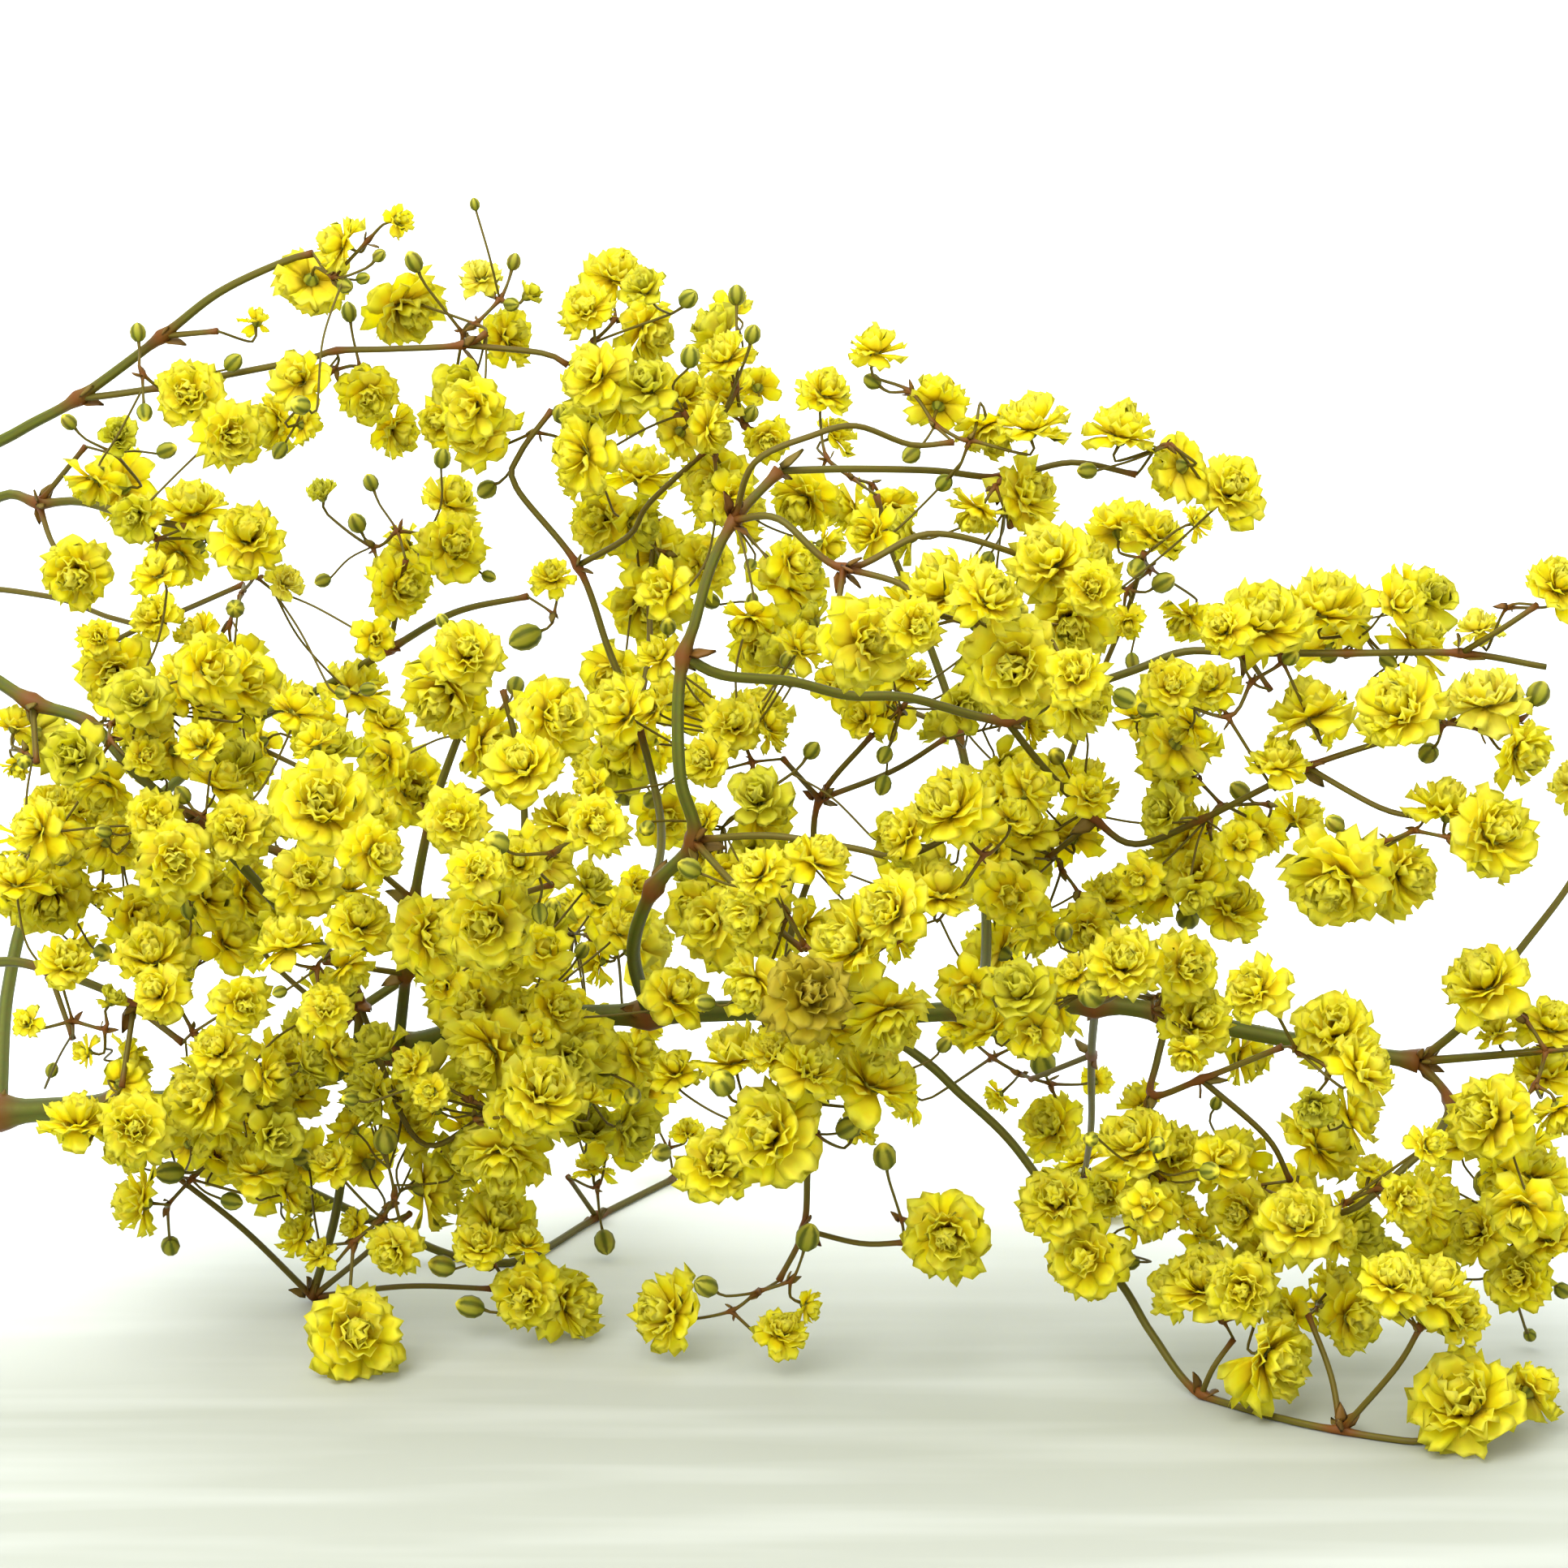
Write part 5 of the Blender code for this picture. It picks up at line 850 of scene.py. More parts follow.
def addPetals(surface, head, draws):
    # petals at golden-angle turns, from the outermost (share 0) to the innermost (share 1)
    look = petalLook
    radius = head["radius"] * look["scale"]
    count = next(number for least, number in look["counts"] if radius >= least)
    count = int(count * look["plainCount"]) if head["plain"] else count
    share = (np.arange(count) + 0.5) / count
    turn = np.arange(count) * math.radians(look["turn"]) + draws.uniform(*anyTurn)
    turn += draws.normal(0, look["turnSpread"], count)
    opened = 1 - head["green"] * look["greenCloses"]
    outer, inner = look["lean"]
    lean = np.radians(inner + (outer - inner) * (1 - share ** look["leanPower"])) * opened
    lean += draws.normal(0, look["leanSpread"], count)
    curl = np.radians(between(look["curl"], share) + draws.normal(0, look["curlSpread"], count)) * opened
    curl = np.where(np.abs(curl) < look["leastCurl"], look["leastCurl"], curl)
    stretch = 1 + head["tall"] * share + look["swing"] * np.cos(turn - head["swing"])
    length = radius * between(look["length"], share) * stretch * draws.uniform(*look["lengthRange"], count)
    width = radius * between(look["width"], share)
    shape = {
        "columns": look["columns"] - head["plain"],
        "sign": draws.choice((-1.0, 1.0), count) * draws.uniform(*look["zigzagRange"], count),
        "roundTip": look["roundTip"],
        "fringe": look["fringe"],
        "ruffle": look["ruffle"] * draws.uniform(*look["ruffleRange"], count),
        "cup": look["cup"],
        "lean": np.maximum(lean, look["leastLean"]),
        "curl": curl,
        "length": length * look["drawnIn"],
        "width": width * draws.uniform(*look["widthRange"], count),
        "foot": look["foot"] * radius * (1 - share),
        "rise": np.full(count, look["mouth"] * radius),
        "turn": turn,
        "thickness": look["thickness"],
    }
    base = np.repeat(head["centre"][None], count, 0)
    axes = np.repeat(basis(head["axis"])[None], count, 0)
    pale = np.clip(head["pale"] + draws.normal(*look["paleness"], count), 0, 1)
    tones = np.stack((np.full(count, head["green"]), pale, np.full(count, head["brown"])), -1)
    sheets(surface, base, axes, shape, look, tones, draws)


def turned(heights, widths, sides, lift=0.0):
    # rings of a turned body: height along the axis, width round it, and the lift of every other side
    angles = np.arange(sides) * 2 * math.pi / sides
    rings = np.stack((np.outer(widths, np.cos(angles)), np.outer(widths, np.sin(angles)),
                      np.repeat(np.array(heights)[:, None], sides, 1)), -1)
    rings[..., 2] += lift
    return rings


def ringFaces(rings, sides):
    # four-sided faces from ring to ring, and a fan round a point at each end
    index = np.arange(rings * sides).reshape(rings, sides)
    beside = np.roll(index, -1, axis=1)
    quads = np.stack((index[:-1], beside[:-1], beside[1:], index[1:]), -1).reshape(-1, 4)
    bottom, top = rings * sides, rings * sides + 1
    low = np.stack((beside[0], index[0], np.full(sides, bottom)), -1)
    high = np.stack((index[-1], beside[-1], np.full(sides, top)), -1)
    return quads, np.vstack((low, high))


def addTurned(surface, centre, axis, rings, along, tones):
    # puts a turned body on its axis and closes both ends with a point
    sides = rings.shape[1]
    ends = np.stack((rings[0].mean(0), rings[-1].mean(0)))
    local = np.vstack((rings.reshape(-1, 3), ends))
    points = centre + local @ basis(axis)
    shade = np.zeros((len(points), 4))
    shade[:-2, 0] = np.repeat(along, sides)
    shade[:-2, 1] = np.tile(np.arange(sides) % 2, len(rings))
    shade[-2, 0], shade[-1, 0] = along[0], along[-1]
    shade[:, 2:] = tones
    quads, triangles = ringFaces(len(rings), sides)
    surface.add(points, shade, quads, triangles, 1)


# The green cup under a bloom, as shares of its radius
calyxLook = {
    "foot": -0.8,
    "heights": (0.0, 0.06, 0.2, 0.34, 0.46, 0.3),
    "widths": (0.07, 0.16, 0.25, 0.28, 0.3, 0.14),
    "along": (0, 0.1, 0.4, 0.7, 1.0, 0.5),
    "rimRing": 4,
    "teeth": 0.07,
    "sides": 8,
    "least": 2.2 * mm,
    "sizeRange": (0.92, 1.1),
    "agedRange": (0, 0.35),
}


def addCalyx(surface, head, draws):
    # a cup turned from its profile, whose rim rises and falls by teeth from side to side
    look = calyxLook
    size = max(head["radius"], look["least"]) * draws.uniform(*look["sizeRange"])
    heights, widths = np.array(look["heights"]) * size, np.array(look["widths"]) * size
    lift = np.zeros((len(heights), look["sides"]))
    lift[look["rimRing"]] = np.where(np.arange(look["sides"]) % 2, look["teeth"], -look["teeth"]) * size
    foot = head["centre"] + head["axis"] * (look["foot"] * head["radius"])
    rings = turned(heights, widths, look["sides"], lift)
    addTurned(surface, foot, head["axis"], rings, look["along"], (0.0, draws.uniform(*look["agedRange"])))


# An unopened bud, as shares of its radius
budLook = {
    "heights": (-1.0, -0.86, -0.45, 0.1, 0.6, 0.95, 1.12),
    "widths": (0.13, 0.46, 0.8, 0.88, 0.72, 0.38, 0.04),
    "along": (0, 0.05, 0.2, 0.4, 0.6, 0.8, 1.0),
    "sides": 10,
    "widthRange": (0.92, 1.04),
    "agedRange": (0, 0.3),
    "upturn": 0.3,
    "foot": 0.95,
    "extraStalk": 0.13 * mm,
}


def addBud(surface, head, draws):
    # an egg turned from its profile, striped from side to side
    look, radius = budLook, head["radius"]
    heights, widths = np.array(look["heights"]) * radius, np.array(look["widths"]) * radius
    rings = turned(heights, widths * draws.uniform(*look["widthRange"]), look["sides"])
    tones = (head["open"], draws.uniform(*look["agedRange"]))
    addTurned(surface, head["centre"], head["axis"], rings, look["along"], tones)


def carried(line):
    # rings' directions along a line, each turned from the last by as little as the bend asks
    ahead = np.gradient(line, axis=0)
    ahead /= np.linalg.norm(ahead, axis=1)[:, None]
    side = np.zeros_like(ahead)
    side[0] = basis(ahead[0])[0]
    for i in range(1, len(line)):
        kept = side[i - 1] - ahead[i] * (side[i - 1] @ ahead[i])
        side[i] = kept / np.linalg.norm(kept)
    return ahead, side


def addTube(surface, line, radii, sides, brown, ribs_and_painted_light=0.0, pith=0.0):
    # a tube with flat ends; its tone's red holds the ribs' painted light and shade (lighter on the ribs, darker in
    # the grooves), blue the brown, alpha the cut end
    ahead, side = carried(line)
    other = np.cross(ahead, side)
    angles = np.arange(sides) * 2 * math.pi / sides
    # the ribs' outward swell, kept in the tone too as the mask for the painted highlight on the ribs and the painted
    # shade in the grooves
    rib_and_highlight = 1 + ribs_and_painted_light * np.cos(angles * sides / 2)
    spoke = side[:, None] * np.cos(angles)[None, :, None] + other[:, None] * np.sin(angles)[None, :, None]
    rings = line[:, None] + spoke * (radii[:, None] * rib_and_highlight)[..., None]
    points = np.vstack((rings.reshape(-1, 3), line[:1], line[-1:]))
    shade = np.zeros((len(points), 4))
    shade[:-2, 0] = np.tile(rib_and_highlight, len(line))
    shade[:-2, 2] = np.repeat(brown, sides)
    shade[-2, 2], shade[-1, 2] = brown[0], brown[-1]
    shade[-2, 3] = pith
    quads, triangles = ringFaces(len(line), sides)
    surface.add(points, shade, quads, triangles)


def nearness(line, places, reach):
    # 1 at the nearest of these places, falling with distance as a bell: e^-(distance / reach)^2
    if not len(places):
        return np.zeros(len(line))
    apart = np.linalg.norm(line[:, None] - np.array(places)[None], axis=2).min(1)
    return np.exp(-(apart / reach) ** 2)


# The pointed brown scales at a fork, in pairs
bractLook = {
    "rows": (0.0, 0.35, 0.7, 1.0),
    "widths": (0.7, 1.0, 0.6, 0.05),
    "columns": 5,
    "length": (0.8 * mm, 1.5 * mm),
    "stemLength": (1.6 * mm, 2.8 * mm),
    "width": 0.3,
    "lean": (18, 48),
    "curl": (4, 30),
    "cup": 0.35,
    "foot": 0.8,
    "rise": -0.3 * mm,
    "thickness": 0.1 * mm,
    "turnSpread": 0.25,
    "agedRange": (0.3, 0.9),
}


def addBracts(surface, place, axis, toward, stemRadius, lengths, draws):
    # one below the lateral stalk and one across from it
    look, local = bractLook, basis(axis)
    flat = local[:2] @ toward
    turn = math.atan2(flat[1], flat[0]) + np.array((0.0, math.pi)) + draws.normal(0, look["turnSpread"], 2)
    length = draws.uniform(*lengths, 2)
    shape = {
        "columns": look["columns"],
        "sign": np.ones(2),
        "roundTip": 0.0,
        "fringe": 0.0,
        "ruffle": np.zeros(2),
        "cup": look["cup"],
        "lean": np.radians(draws.uniform(*look["lean"], 2)),
        "curl": np.radians(draws.uniform(*look["curl"], 2)),
        "length": length,
        "width": length * look["width"],
        "foot": np.full(2, stemRadius * look["foot"]),
        "rise": np.full(2, look["rise"]),
        "turn": turn,
        "thickness": look["thickness"],
    }
    tones = np.stack((np.ones(2), draws.uniform(*look["agedRange"], 2), np.zeros(2)), -1)
    sheets(surface, np.repeat(place[None], 2, 0), np.repeat(local[None], 2, 0), shape, look, tones, draws)


def linear(red, green, blue):
    # picture colour, 0 to 255, as linear light
    shares = np.array((red, green, blue)) / 255
    return tuple(np.where(shares <= 0.04045, shares / 12.92, ((shares + 0.055) / 1.055) ** 2.4)) + (1.0,)


class Finish:
    # one material: its shader, a noise on Object coordinates, and the links between its nodes
    def __init__(self, name):
        self.material = bpy.data.materials.new(name)
        self.material.use_nodes = True
        self.nodes, self.links = self.material.node_tree.nodes, self.material.node_tree.links
        self.shader = self.nodes["Principled BSDF"]
        self.place = self.nodes.new("ShaderNodeTexCoord").outputs["Object"]
        self.noise = self.nodes.new("ShaderNodeTexNoise")

    def grain(self, scale, detail=2.0):
        self.links.new(self.place, self.noise.inputs["Vector"])
        self.noise.inputs["Scale"].default_value = scale
        self.noise.inputs["Detail"].default_value = detail

    def tones(self):
        # the four channels of the piece's own "tone" attribute
        tone = self.nodes.new("ShaderNodeAttribute")
        tone.attribute_name = "tone"
        split = self.nodes.new("ShaderNodeSeparateColor")
        self.links.new(tone.outputs["Color"], split.inputs["Color"])
        return (*split.outputs[:3], tone.outputs["Alpha"])

    def feed(self, socket, value):
        if isinstance(value, bpy.types.NodeSocket):
            self.links.new(value, socket)
        else:
            socket.default_value = value

    def blend(self, factor, first, second):
        mix = self.nodes.new("ShaderNodeMix")
        mix.data_type = "RGBA"
        for socket, value in ((mix.inputs["Factor"], factor), (mix.inputs[6], first), (mix.inputs[7], second)):
            self.feed(socket, value)
        return mix.outputs[2]

    def ramp(self, value, low, high, least=0.0, most=1.0):
        node = self.nodes.new("ShaderNodeMapRange")
        for name, number in (("Value", value), ("From Min", low), ("From Max", high), ("To Min", least),
                             ("To Max", most)):
            self.feed(node.inputs[name], number)
        return node.outputs["Result"]

    def speckle(self, low, high, most=1.0):
        return self.ramp(self.noise.outputs["Fac"], low, high, 0.0, most)

    def times(self, first, second):
        node = self.nodes.new("ShaderNodeMath")
        node.operation = "MULTIPLY"
        self.feed(node.inputs[0], first)
        self.feed(node.inputs[1], second)
        return node.outputs[0]

    def coat(self, colour, roughness, specular, bump=0.0):
        self.links.new(colour, self.shader.inputs["Base Color"])
        self.shader.inputs["Roughness"].default_value = roughness
        self.shader.inputs["Specular IOR Level"].default_value = specular
        if bump:
            node = self.nodes.new("ShaderNodeBump")
            node.inputs["Strength"].default_value = bump
            node.inputs["Distance"].default_value = 0.1 * mm
            self.links.new(self.noise.outputs["Fac"], node.inputs["Height"])
            self.links.new(node.outputs["Normal"], self.shader.inputs["Normal"])
        return self.material


# Colours as they look in the photograph, 0 to 255
petalColours = {
    "heart": (249, 225, 13),
    "blade": (250, 246, 41),
    # paler tips: partly the petals' own pale rims, partly painted sheen
    "pale_rim_and_sheen": (252, 248, 130),
    "patch": (246, 216, 12),
    "pale": (247, 243, 150),
    "opening": (190, 192, 70),
    "aged": (150, 105, 40),
    "letThrough": 0.6,
}
stalkColours = {
    # the first two are painted light: shade in the stems' grooves and a highlight on their ribs
    "painted_groove_shade": (62, 72, 14),
    "rib_and_highlight": (94, 102, 26),
    "patch": (86, 74, 18),
    "scale": (150, 140, 60),
    "joint": (104, 60, 16),
    "pith": (205, 205, 140),
}
calyxColours = {
    "foot": (118, 122, 22),
    "tooth": (168, 164, 52),
    "stripe": (66, 76, 10),
    "petalTip": (236, 222, 60),
    "aged": (120, 80, 36),
}


def petalMaterial():
    finish = Finish("petals")
    finish.grain(900, 3)
    along, green, pale, brown = finish.tones()
    tint = {name: linear(*value) for name, value in petalColours.items() if name != "letThrough"}
    colour = finish.blend(finish.ramp(along, 0.0, 0.7), tint["heart"], tint["blade"])
    # paler towards the tips: partly the petals' own pale rims, partly painted sheen
    colour = finish.blend(finish.ramp(along, 0.65, 1.0, 0, 0.45), colour, tint["pale_rim_and_sheen"])
    colour = finish.blend(finish.speckle(0.45, 0.7, 0.35), colour, tint["patch"])
    colour = finish.blend(finish.times(pale, 0.6), colour, tint["pale"])
    colour = finish.blend(finish.times(green, 0.8), colour, tint["opening"])
    colour = finish.blend(brown, colour, tint["aged"])
    finish.coat(colour, 0.65, 0.08, 0.12)
    through = finish.nodes.new("ShaderNodeBsdfTranslucent")
    finish.links.new(colour, through.inputs["Color"])
    mix = finish.nodes.new("ShaderNodeMixShader")
    mix.inputs["Fac"].default_value = petalColours["letThrough"]
    finish.links.new(finish.shader.outputs["BSDF"], mix.inputs[1])
    finish.links.new(through.outputs["BSDF"], mix.inputs[2])
    finish.links.new(mix.outputs["Shader"], finish.nodes["Material Output"].inputs["Surface"])
    return finish.material


def stalkMaterial():
    finish = Finish("stalks")
    finish.grain(1400, 4)
    ribs_and_painted_light, scale, brown, pith = finish.tones()
    tint = {name: linear(*value) for name, value in stalkColours.items()}
    # painted light on the stems from the tone's red: painted shade in the grooves, painted highlight on the ribs
    colour = finish.blend(finish.ramp(ribs_and_painted_light, 0.94, 1.06), tint["painted_groove_shade"], tint["rib_and_highlight"])
    colour = finish.blend(finish.speckle(0.35, 0.75, 0.5), colour, tint["patch"])
    colour = finish.blend(finish.times(scale, 0.35), colour, tint["scale"])
    colour = finish.blend(brown, colour, tint["joint"])
    colour = finish.blend(pith, colour, tint["pith"])
    return finish.coat(colour, 0.55, 0.2, 0.3)


def calyxMaterial():
    finish = Finish("calyces")
    finish.grain(1200)
    along, stripe, opened, aged = finish.tones()
    tint = {name: linear(*value) for name, value in calyxColours.items()}
    colour = finish.blend(finish.ramp(along, 0.0, 1.0), tint["foot"], tint["tooth"])
    colour = finish.blend(finish.ramp(stripe, 0.35, 0.8, 0, 0.85), colour, tint["stripe"])
    colour = finish.blend(finish.times(finish.ramp(along, 0.7, 0.95), opened), colour, tint["petalTip"])
    colour = finish.blend(finish.times(finish.speckle(0.4, 0.65), aged), colour, tint["aged"])
    return finish.coat(colour, 0.6, 0.15)


# Which way a bloom faces: how much it follows its stalk, the light above, the viewer and chance
facing = {
    "stalk": 1.0,
    "up": 0.45,
    "viewer": 0.65,
    "chance": 0.4,
}

# Blooms that the photograph shows as different from the rest: picture point, then what differs
bloomLooks = [
    (1080, 420, {"lean": (0.1, 0, 1)}), (1270, 510, {"lean": (0, 0, 1)}), (1385, 520, {"lean": (0.2, 0, 1)}),
    (1577, 930, {"lean": (0.1, -0.1, 1)}), (1155, 1085, {"lean": (0, 0, 1)}), (315, 1430, {"lean": (0, 0, 1)}),
    (95, 1370, {"lean": (-0.1, 0, 1)}), (160, 1480, {"lean": (-1, 0, 0.1)}), (145, 535, {"green": 0.6}),
    (362, 475, {"green": 0.5}), (395, 605, {"green": 0.6}), (430, 430, {"green": 0.5}),
    (655, 360, {"green": 0.5}), (140, 1228, {"green": 0.5}), (1620, 1365, {"green": 0.5}),
    (1000, 1220, {"brown": 0.45}), (930, 1340, {"brown": 0.4}), (355, 715, {"pale": 0.6}),
    (592, 335, {"pale": 0.6}), (1820, 770, {"pale": 0.5}), (1830, 850, {"pale": 0.5}),
    (1935, 955, {"pale": 0.5}), (800, 1160, {"pale": 0.45}), (1860, 1385, {"pale": 0.5}),
    (1455, 905, {"tall": 1.15}), (1610, 1005, {"tall": 1.2}), (285, 825, {"tall": 1.15}),
]
sameBloom = 12  # pixels
plainHead = {"kind": "bloom", "green": 0.0, "pale": 0.0, "brown": 0.0, "tall": 0.0, "plain": 0, "open": 1.0}


def headOf(layout, stalk, draws):
    # a bloom or bud: its centre, its radius, the way it faces and what differs in it
    tip = stalk[-1]
    centre, kind = np.array(layout.place[tip]), layout.kind[tip]
    arriving = unit(centre - layout.place[stalk[-2]])
    head = dict(plainHead, centre=centre, radius=layout.radius[tip], kind=kind, swing=draws.uniform(*anyTurn),
                open=draws.choice((0.0, 0.3, 1.0)))
    chance = draws.normal(size=3)
    if kind == "bud":
        head["axis"] = unit(arriving + upright * budLook["upturn"])
        return head
    head["axis"] = unit(arriving * facing["stalk"] + upright * facing["up"] - sight(centre) * facing["viewer"]
                        + chance * facing["chance"])
    across, down = layout.pictured.get(tip, (0, 0))
    for x, y, changes in bloomLooks:
        if math.hypot(x - across, y - down) < sameBloom:
            head["axis"] = unit(np.array(changes.get("lean", head["axis"]), float))
            head["tall"] = changes.get("tall", 1.0) - 1
            head.update({key: value for key, value in changes.items() if key in ("green", "pale", "brown")})
    return head


# The stems: limbs and twigs, thicker and ribbed
stemLook = {
    "sides": 10,
    "fewSides": 8,
    "fewSidesUnder": 0.5 * mm,
    "step": 1.1 * mm,
    "slim": 0.9,
    "joint": 0.65,
    "sprayJoint": 0.3,
    "jointReach": 1.05,
    "jointLeast": 0.4 * mm,
    "forkReach": 0.6 * mm,
    "brownReach": 1.8 * mm,
    "sprayBrown": (0.7, 0.6),
    "thinUnder": (0.6 * mm, 0.3 * mm),
    # how far the ribs stand out, which also sets how strongly light and shade are painted on them
    "ribs_and_painted_light": 0.05,
    "bractToward": (0.3, -0.6, 0.7),
    "bractSeat": 1.3,
}


def drawStems(courses, bases, stalks, draws):
    # each twig's finer line, swollen and brown where another starts; the first twig of all has the cut end
    look, fine = stemLook, {}
    starts = [(knots[0], name, number) for name, lines in courses.items()
              for number, (knots, _) in enumerate(lines)]
    for name, lines in courses.items():
        fine[name] = []
        for number, (knots, radii) in enumerate(lines):
            first = name == "main_stem" and number == 0
            line, widths = smoothLine(knots, radii, look["step"])
            if not first:
                widths = widths * look["slim"]
            forks = [start for start, other, index in starts if (other, index) != (name, number)]
            forks = [start for start in forks if np.linalg.norm(line - start, axis=1).min() < look["forkReach"]]
            reach = look["jointReach"] * widths + look["jointLeast"]
            swell = 1 + look["joint"] * nearness(line, forks, reach)
            swell = np.maximum(swell, 1 + look["sprayJoint"] * nearness(line, bases[name], reach))
            share, shorter = look["sprayBrown"]
            brown = np.maximum(nearness(line, forks, look["brownReach"]),
                               share * nearness(line, bases[name], look["brownReach"] * shorter))
            widths = widths * swell
            thin = np.clip((look["thinUnder"][0] - widths) / look["thinUnder"][1], 0, 1)
            line = line.copy()
            line[:, 2] = np.maximum(line[:, 2], widths)
            sides = look["sides"] if widths.max() > look["fewSidesUnder"] else look["fewSides"]
            brown = np.clip(brown + stalkLook["thinBrown"] * thin, 0, 1)
            addTube(stalks[name], line, widths, sides, brown, look["ribs_and_painted_light"], float(first))
            fine[name].append(line)
            if number or limbRoutes[name][0]:
                towards = unit(line[min(4, len(line) - 1)] - line[0])
                addBracts(stalks[name], line[0] + towards * widths[0], towards, np.array(look["bractToward"]),
                          widths[0] * look["bractSeat"], bractLook["stemLength"], draws)
    print("stems drawn")
    return {name: np.vstack(lines) for name, lines in fine.items()}


# The thin stalks of the sprays
stalkLook = {
    "radius": 0.15 * mm,
    "swell": 0.032 * mm,
    "step": 0.85 * mm,
    "sides": 6,
    "joint": 0.85,
    "jointReach": 0.5 * mm,
    "brownReach": 1.3 * mm,
    "thinBrown": 0.35,
    "neck": 0.35,
    "neckReach": 0.5 * mm,
    "straightEnd": (1.6 * mm, 0.35),
    "intoCalyx": 0.04,
}


def fineStalk(layout, stalk, head, fineLimb):
    # the stalk's smooth line: from the middle of what carries it, through its joints, into the calyx
    places = [np.array(layout.place[i]) for i in stalk[:-1]]
    if layout.kind[stalk[0]] == "base":
        places[0] = fineLimb[np.argmin(np.linalg.norm(fineLimb - places[0], axis=1))]
    share = -calyxLook["foot"] - stalkLook["intoCalyx"] if head["kind"] == "bloom" else budLook["foot"]
    foot = head["centre"] - head["axis"] * head["radius"] * share
    longest, part = stalkLook["straightEnd"]
    before = foot - head["axis"] * min(longest, part * np.linalg.norm(foot - places[-1]))
    knots = np.array(places + [before, foot])
    loads = np.array([layout.load[i] for i in stalk[:-1]] + [1, 1])
    radii = stalkLook["radius"] + stalkLook["swell"] * np.sqrt(loads - 1)
    radii[1:] = np.minimum(radii[1:], radii[:-1])
    return smoothLine(knots, radii, stalkLook["step"])


def drawSprays(layout, home, fine, blooms, stalks, draws):
    # every stalk with its joints and bracts, and the bloom or bud that it ends in
    look, joints, drawn = stalkLook, {}, []
    for stalk in layout.stalks:
        for i in stalk:
            if layout.kind[i] == "joint":
                joints.setdefault(i, []).append(stalk)
    for stalk in layout.stalks:
        limb = home[layout.node[stalk[0]]]
        head = headOf(layout, stalk, draws)
        line, radii = fineStalk(layout, stalk, head, fine[limb])
        knots = [np.array(layout.place[i]) for i in stalk if layout.kind[i] == "joint"]
        swell = 1 + look["joint"] * nearness(line, knots, look["jointReach"])
        neck = nearness(line, line[-1:], look["neckReach"]) * look["neck"]
        brown = np.maximum(nearness(line, knots, look["brownReach"]), look["thinBrown"])
        widths = radii * (swell + neck)
        drawn.append((line[2:-3], limb))
        line[:, 2] = np.maximum(line[:, 2], widths)
        addTube(stalks[limb], line, widths, look["sides"], brown)
        for i in stalk[1:-1]:
            if layout.kind[i] == "joint" and joints[i][0] is stalk:
                near = int(np.argmin(np.linalg.norm(line - layout.place[i], axis=1)))
                axis = unit(line[min(near + 1, len(line) - 1)] - line[near - 1])
                lateral = [other for other in joints[i] if other[0] == i]
                toward = unit(layout.place[lateral[0][1]] - layout.place[i]) if lateral else upright
                addBracts(stalks[limb], line[near], axis, toward, widths[near], bractLook["length"], draws)
        addHead(head, blooms[limb], stalks[limb], draws)
    print("blooms drawn")
    return drawn


def addHead(head, petals, stalks, draws):
    # a bud, or a bloom with its calyx
    if head["kind"] == "bud":
        addBud(stalks, head, draws)
        return
    addPetals(petals, head, draws)
    addCalyx(stalks, head, draws)


# Smaller buds that only the looks have: they stand on short stalks at the nearest joint
extraBudSpots = [
    (287, 447, 13), (205, 555, 14), (425, 352, 11), (447, 343, 9), (345, 555, 12), (245, 675, 11),
    (630, 375, 11), (925, 510, 12), (850, 440, 14), (545, 565, 14), (602, 710, 10), (585, 252, 8),
    (1123, 560, 12), (1400, 700, 14), (1395, 815, 12), (1340, 580, 12), (1765, 880, 14), (1590, 810, 12),
    (1638, 808, 11), (1710, 815, 12), (185, 905, 12), (545, 765, 9), (875, 740, 14), (665, 1125, 12),
    (850, 1070, 14), (1088, 967, 13), (1385, 860, 14), (1365, 1135, 16), (345, 1222, 9), (285, 1480, 14),
    (545, 1560, 17), (815, 1420, 16), (1045, 1390, 16), (398, 715, 11),
]
extraBuds = {
    "nearer": 1.0,
    "overFloor": 1.2,
    "bow": 0.08,
}


def addExtraBuds(layout, stalks, home, draws):
    # each of the small buds stands on a short bowed stalk at the nearest joint in the picture
    numbers = [i for i, kind in enumerate(layout.kind) if kind in ("joint", "bend")]
    shown = np.array([pictured(layout.place[i]) for i in numbers])
    for across, down, size in extraBudSpots:
        nearest = numbers[int(np.argmin(np.hypot(shown[:, 0] - across, shown[:, 1] - down)))]
        start = np.array(layout.place[nearest])
        radius = size * seen["pixel"]
        centre = spot(across, down, float(start[1] / mm - extraBuds["nearer"]))
        centre[2] = max(centre[2], radius * extraBuds["overFloor"])
        axis = unit(unit(centre - start) + np.array((0, 0, budLook["upturn"])))
        head = dict(plainHead, centre=centre, radius=radius, axis=axis, open=draws.choice((0.0, 0.5, 1.0)))
        foot = centre - axis * radius * budLook["foot"]
        middle = (start + foot) / 2 + np.cross(foot - start, draws.normal(size=3)) * extraBuds["bow"]
        line, radii = smoothLine(np.array((start, middle, foot)), np.full(3, budLook["extraStalk"]),
                                 stalkLook["step"])
        limb = home[layout.node[nearest]]
        if np.linalg.norm(centre - start) > radius:
            addTube(stalks[limb], line, radii, stalkLook["sides"], np.full(len(line), stalkLook["thinBrown"]))
        addBud(stalks[limb], head, draws)


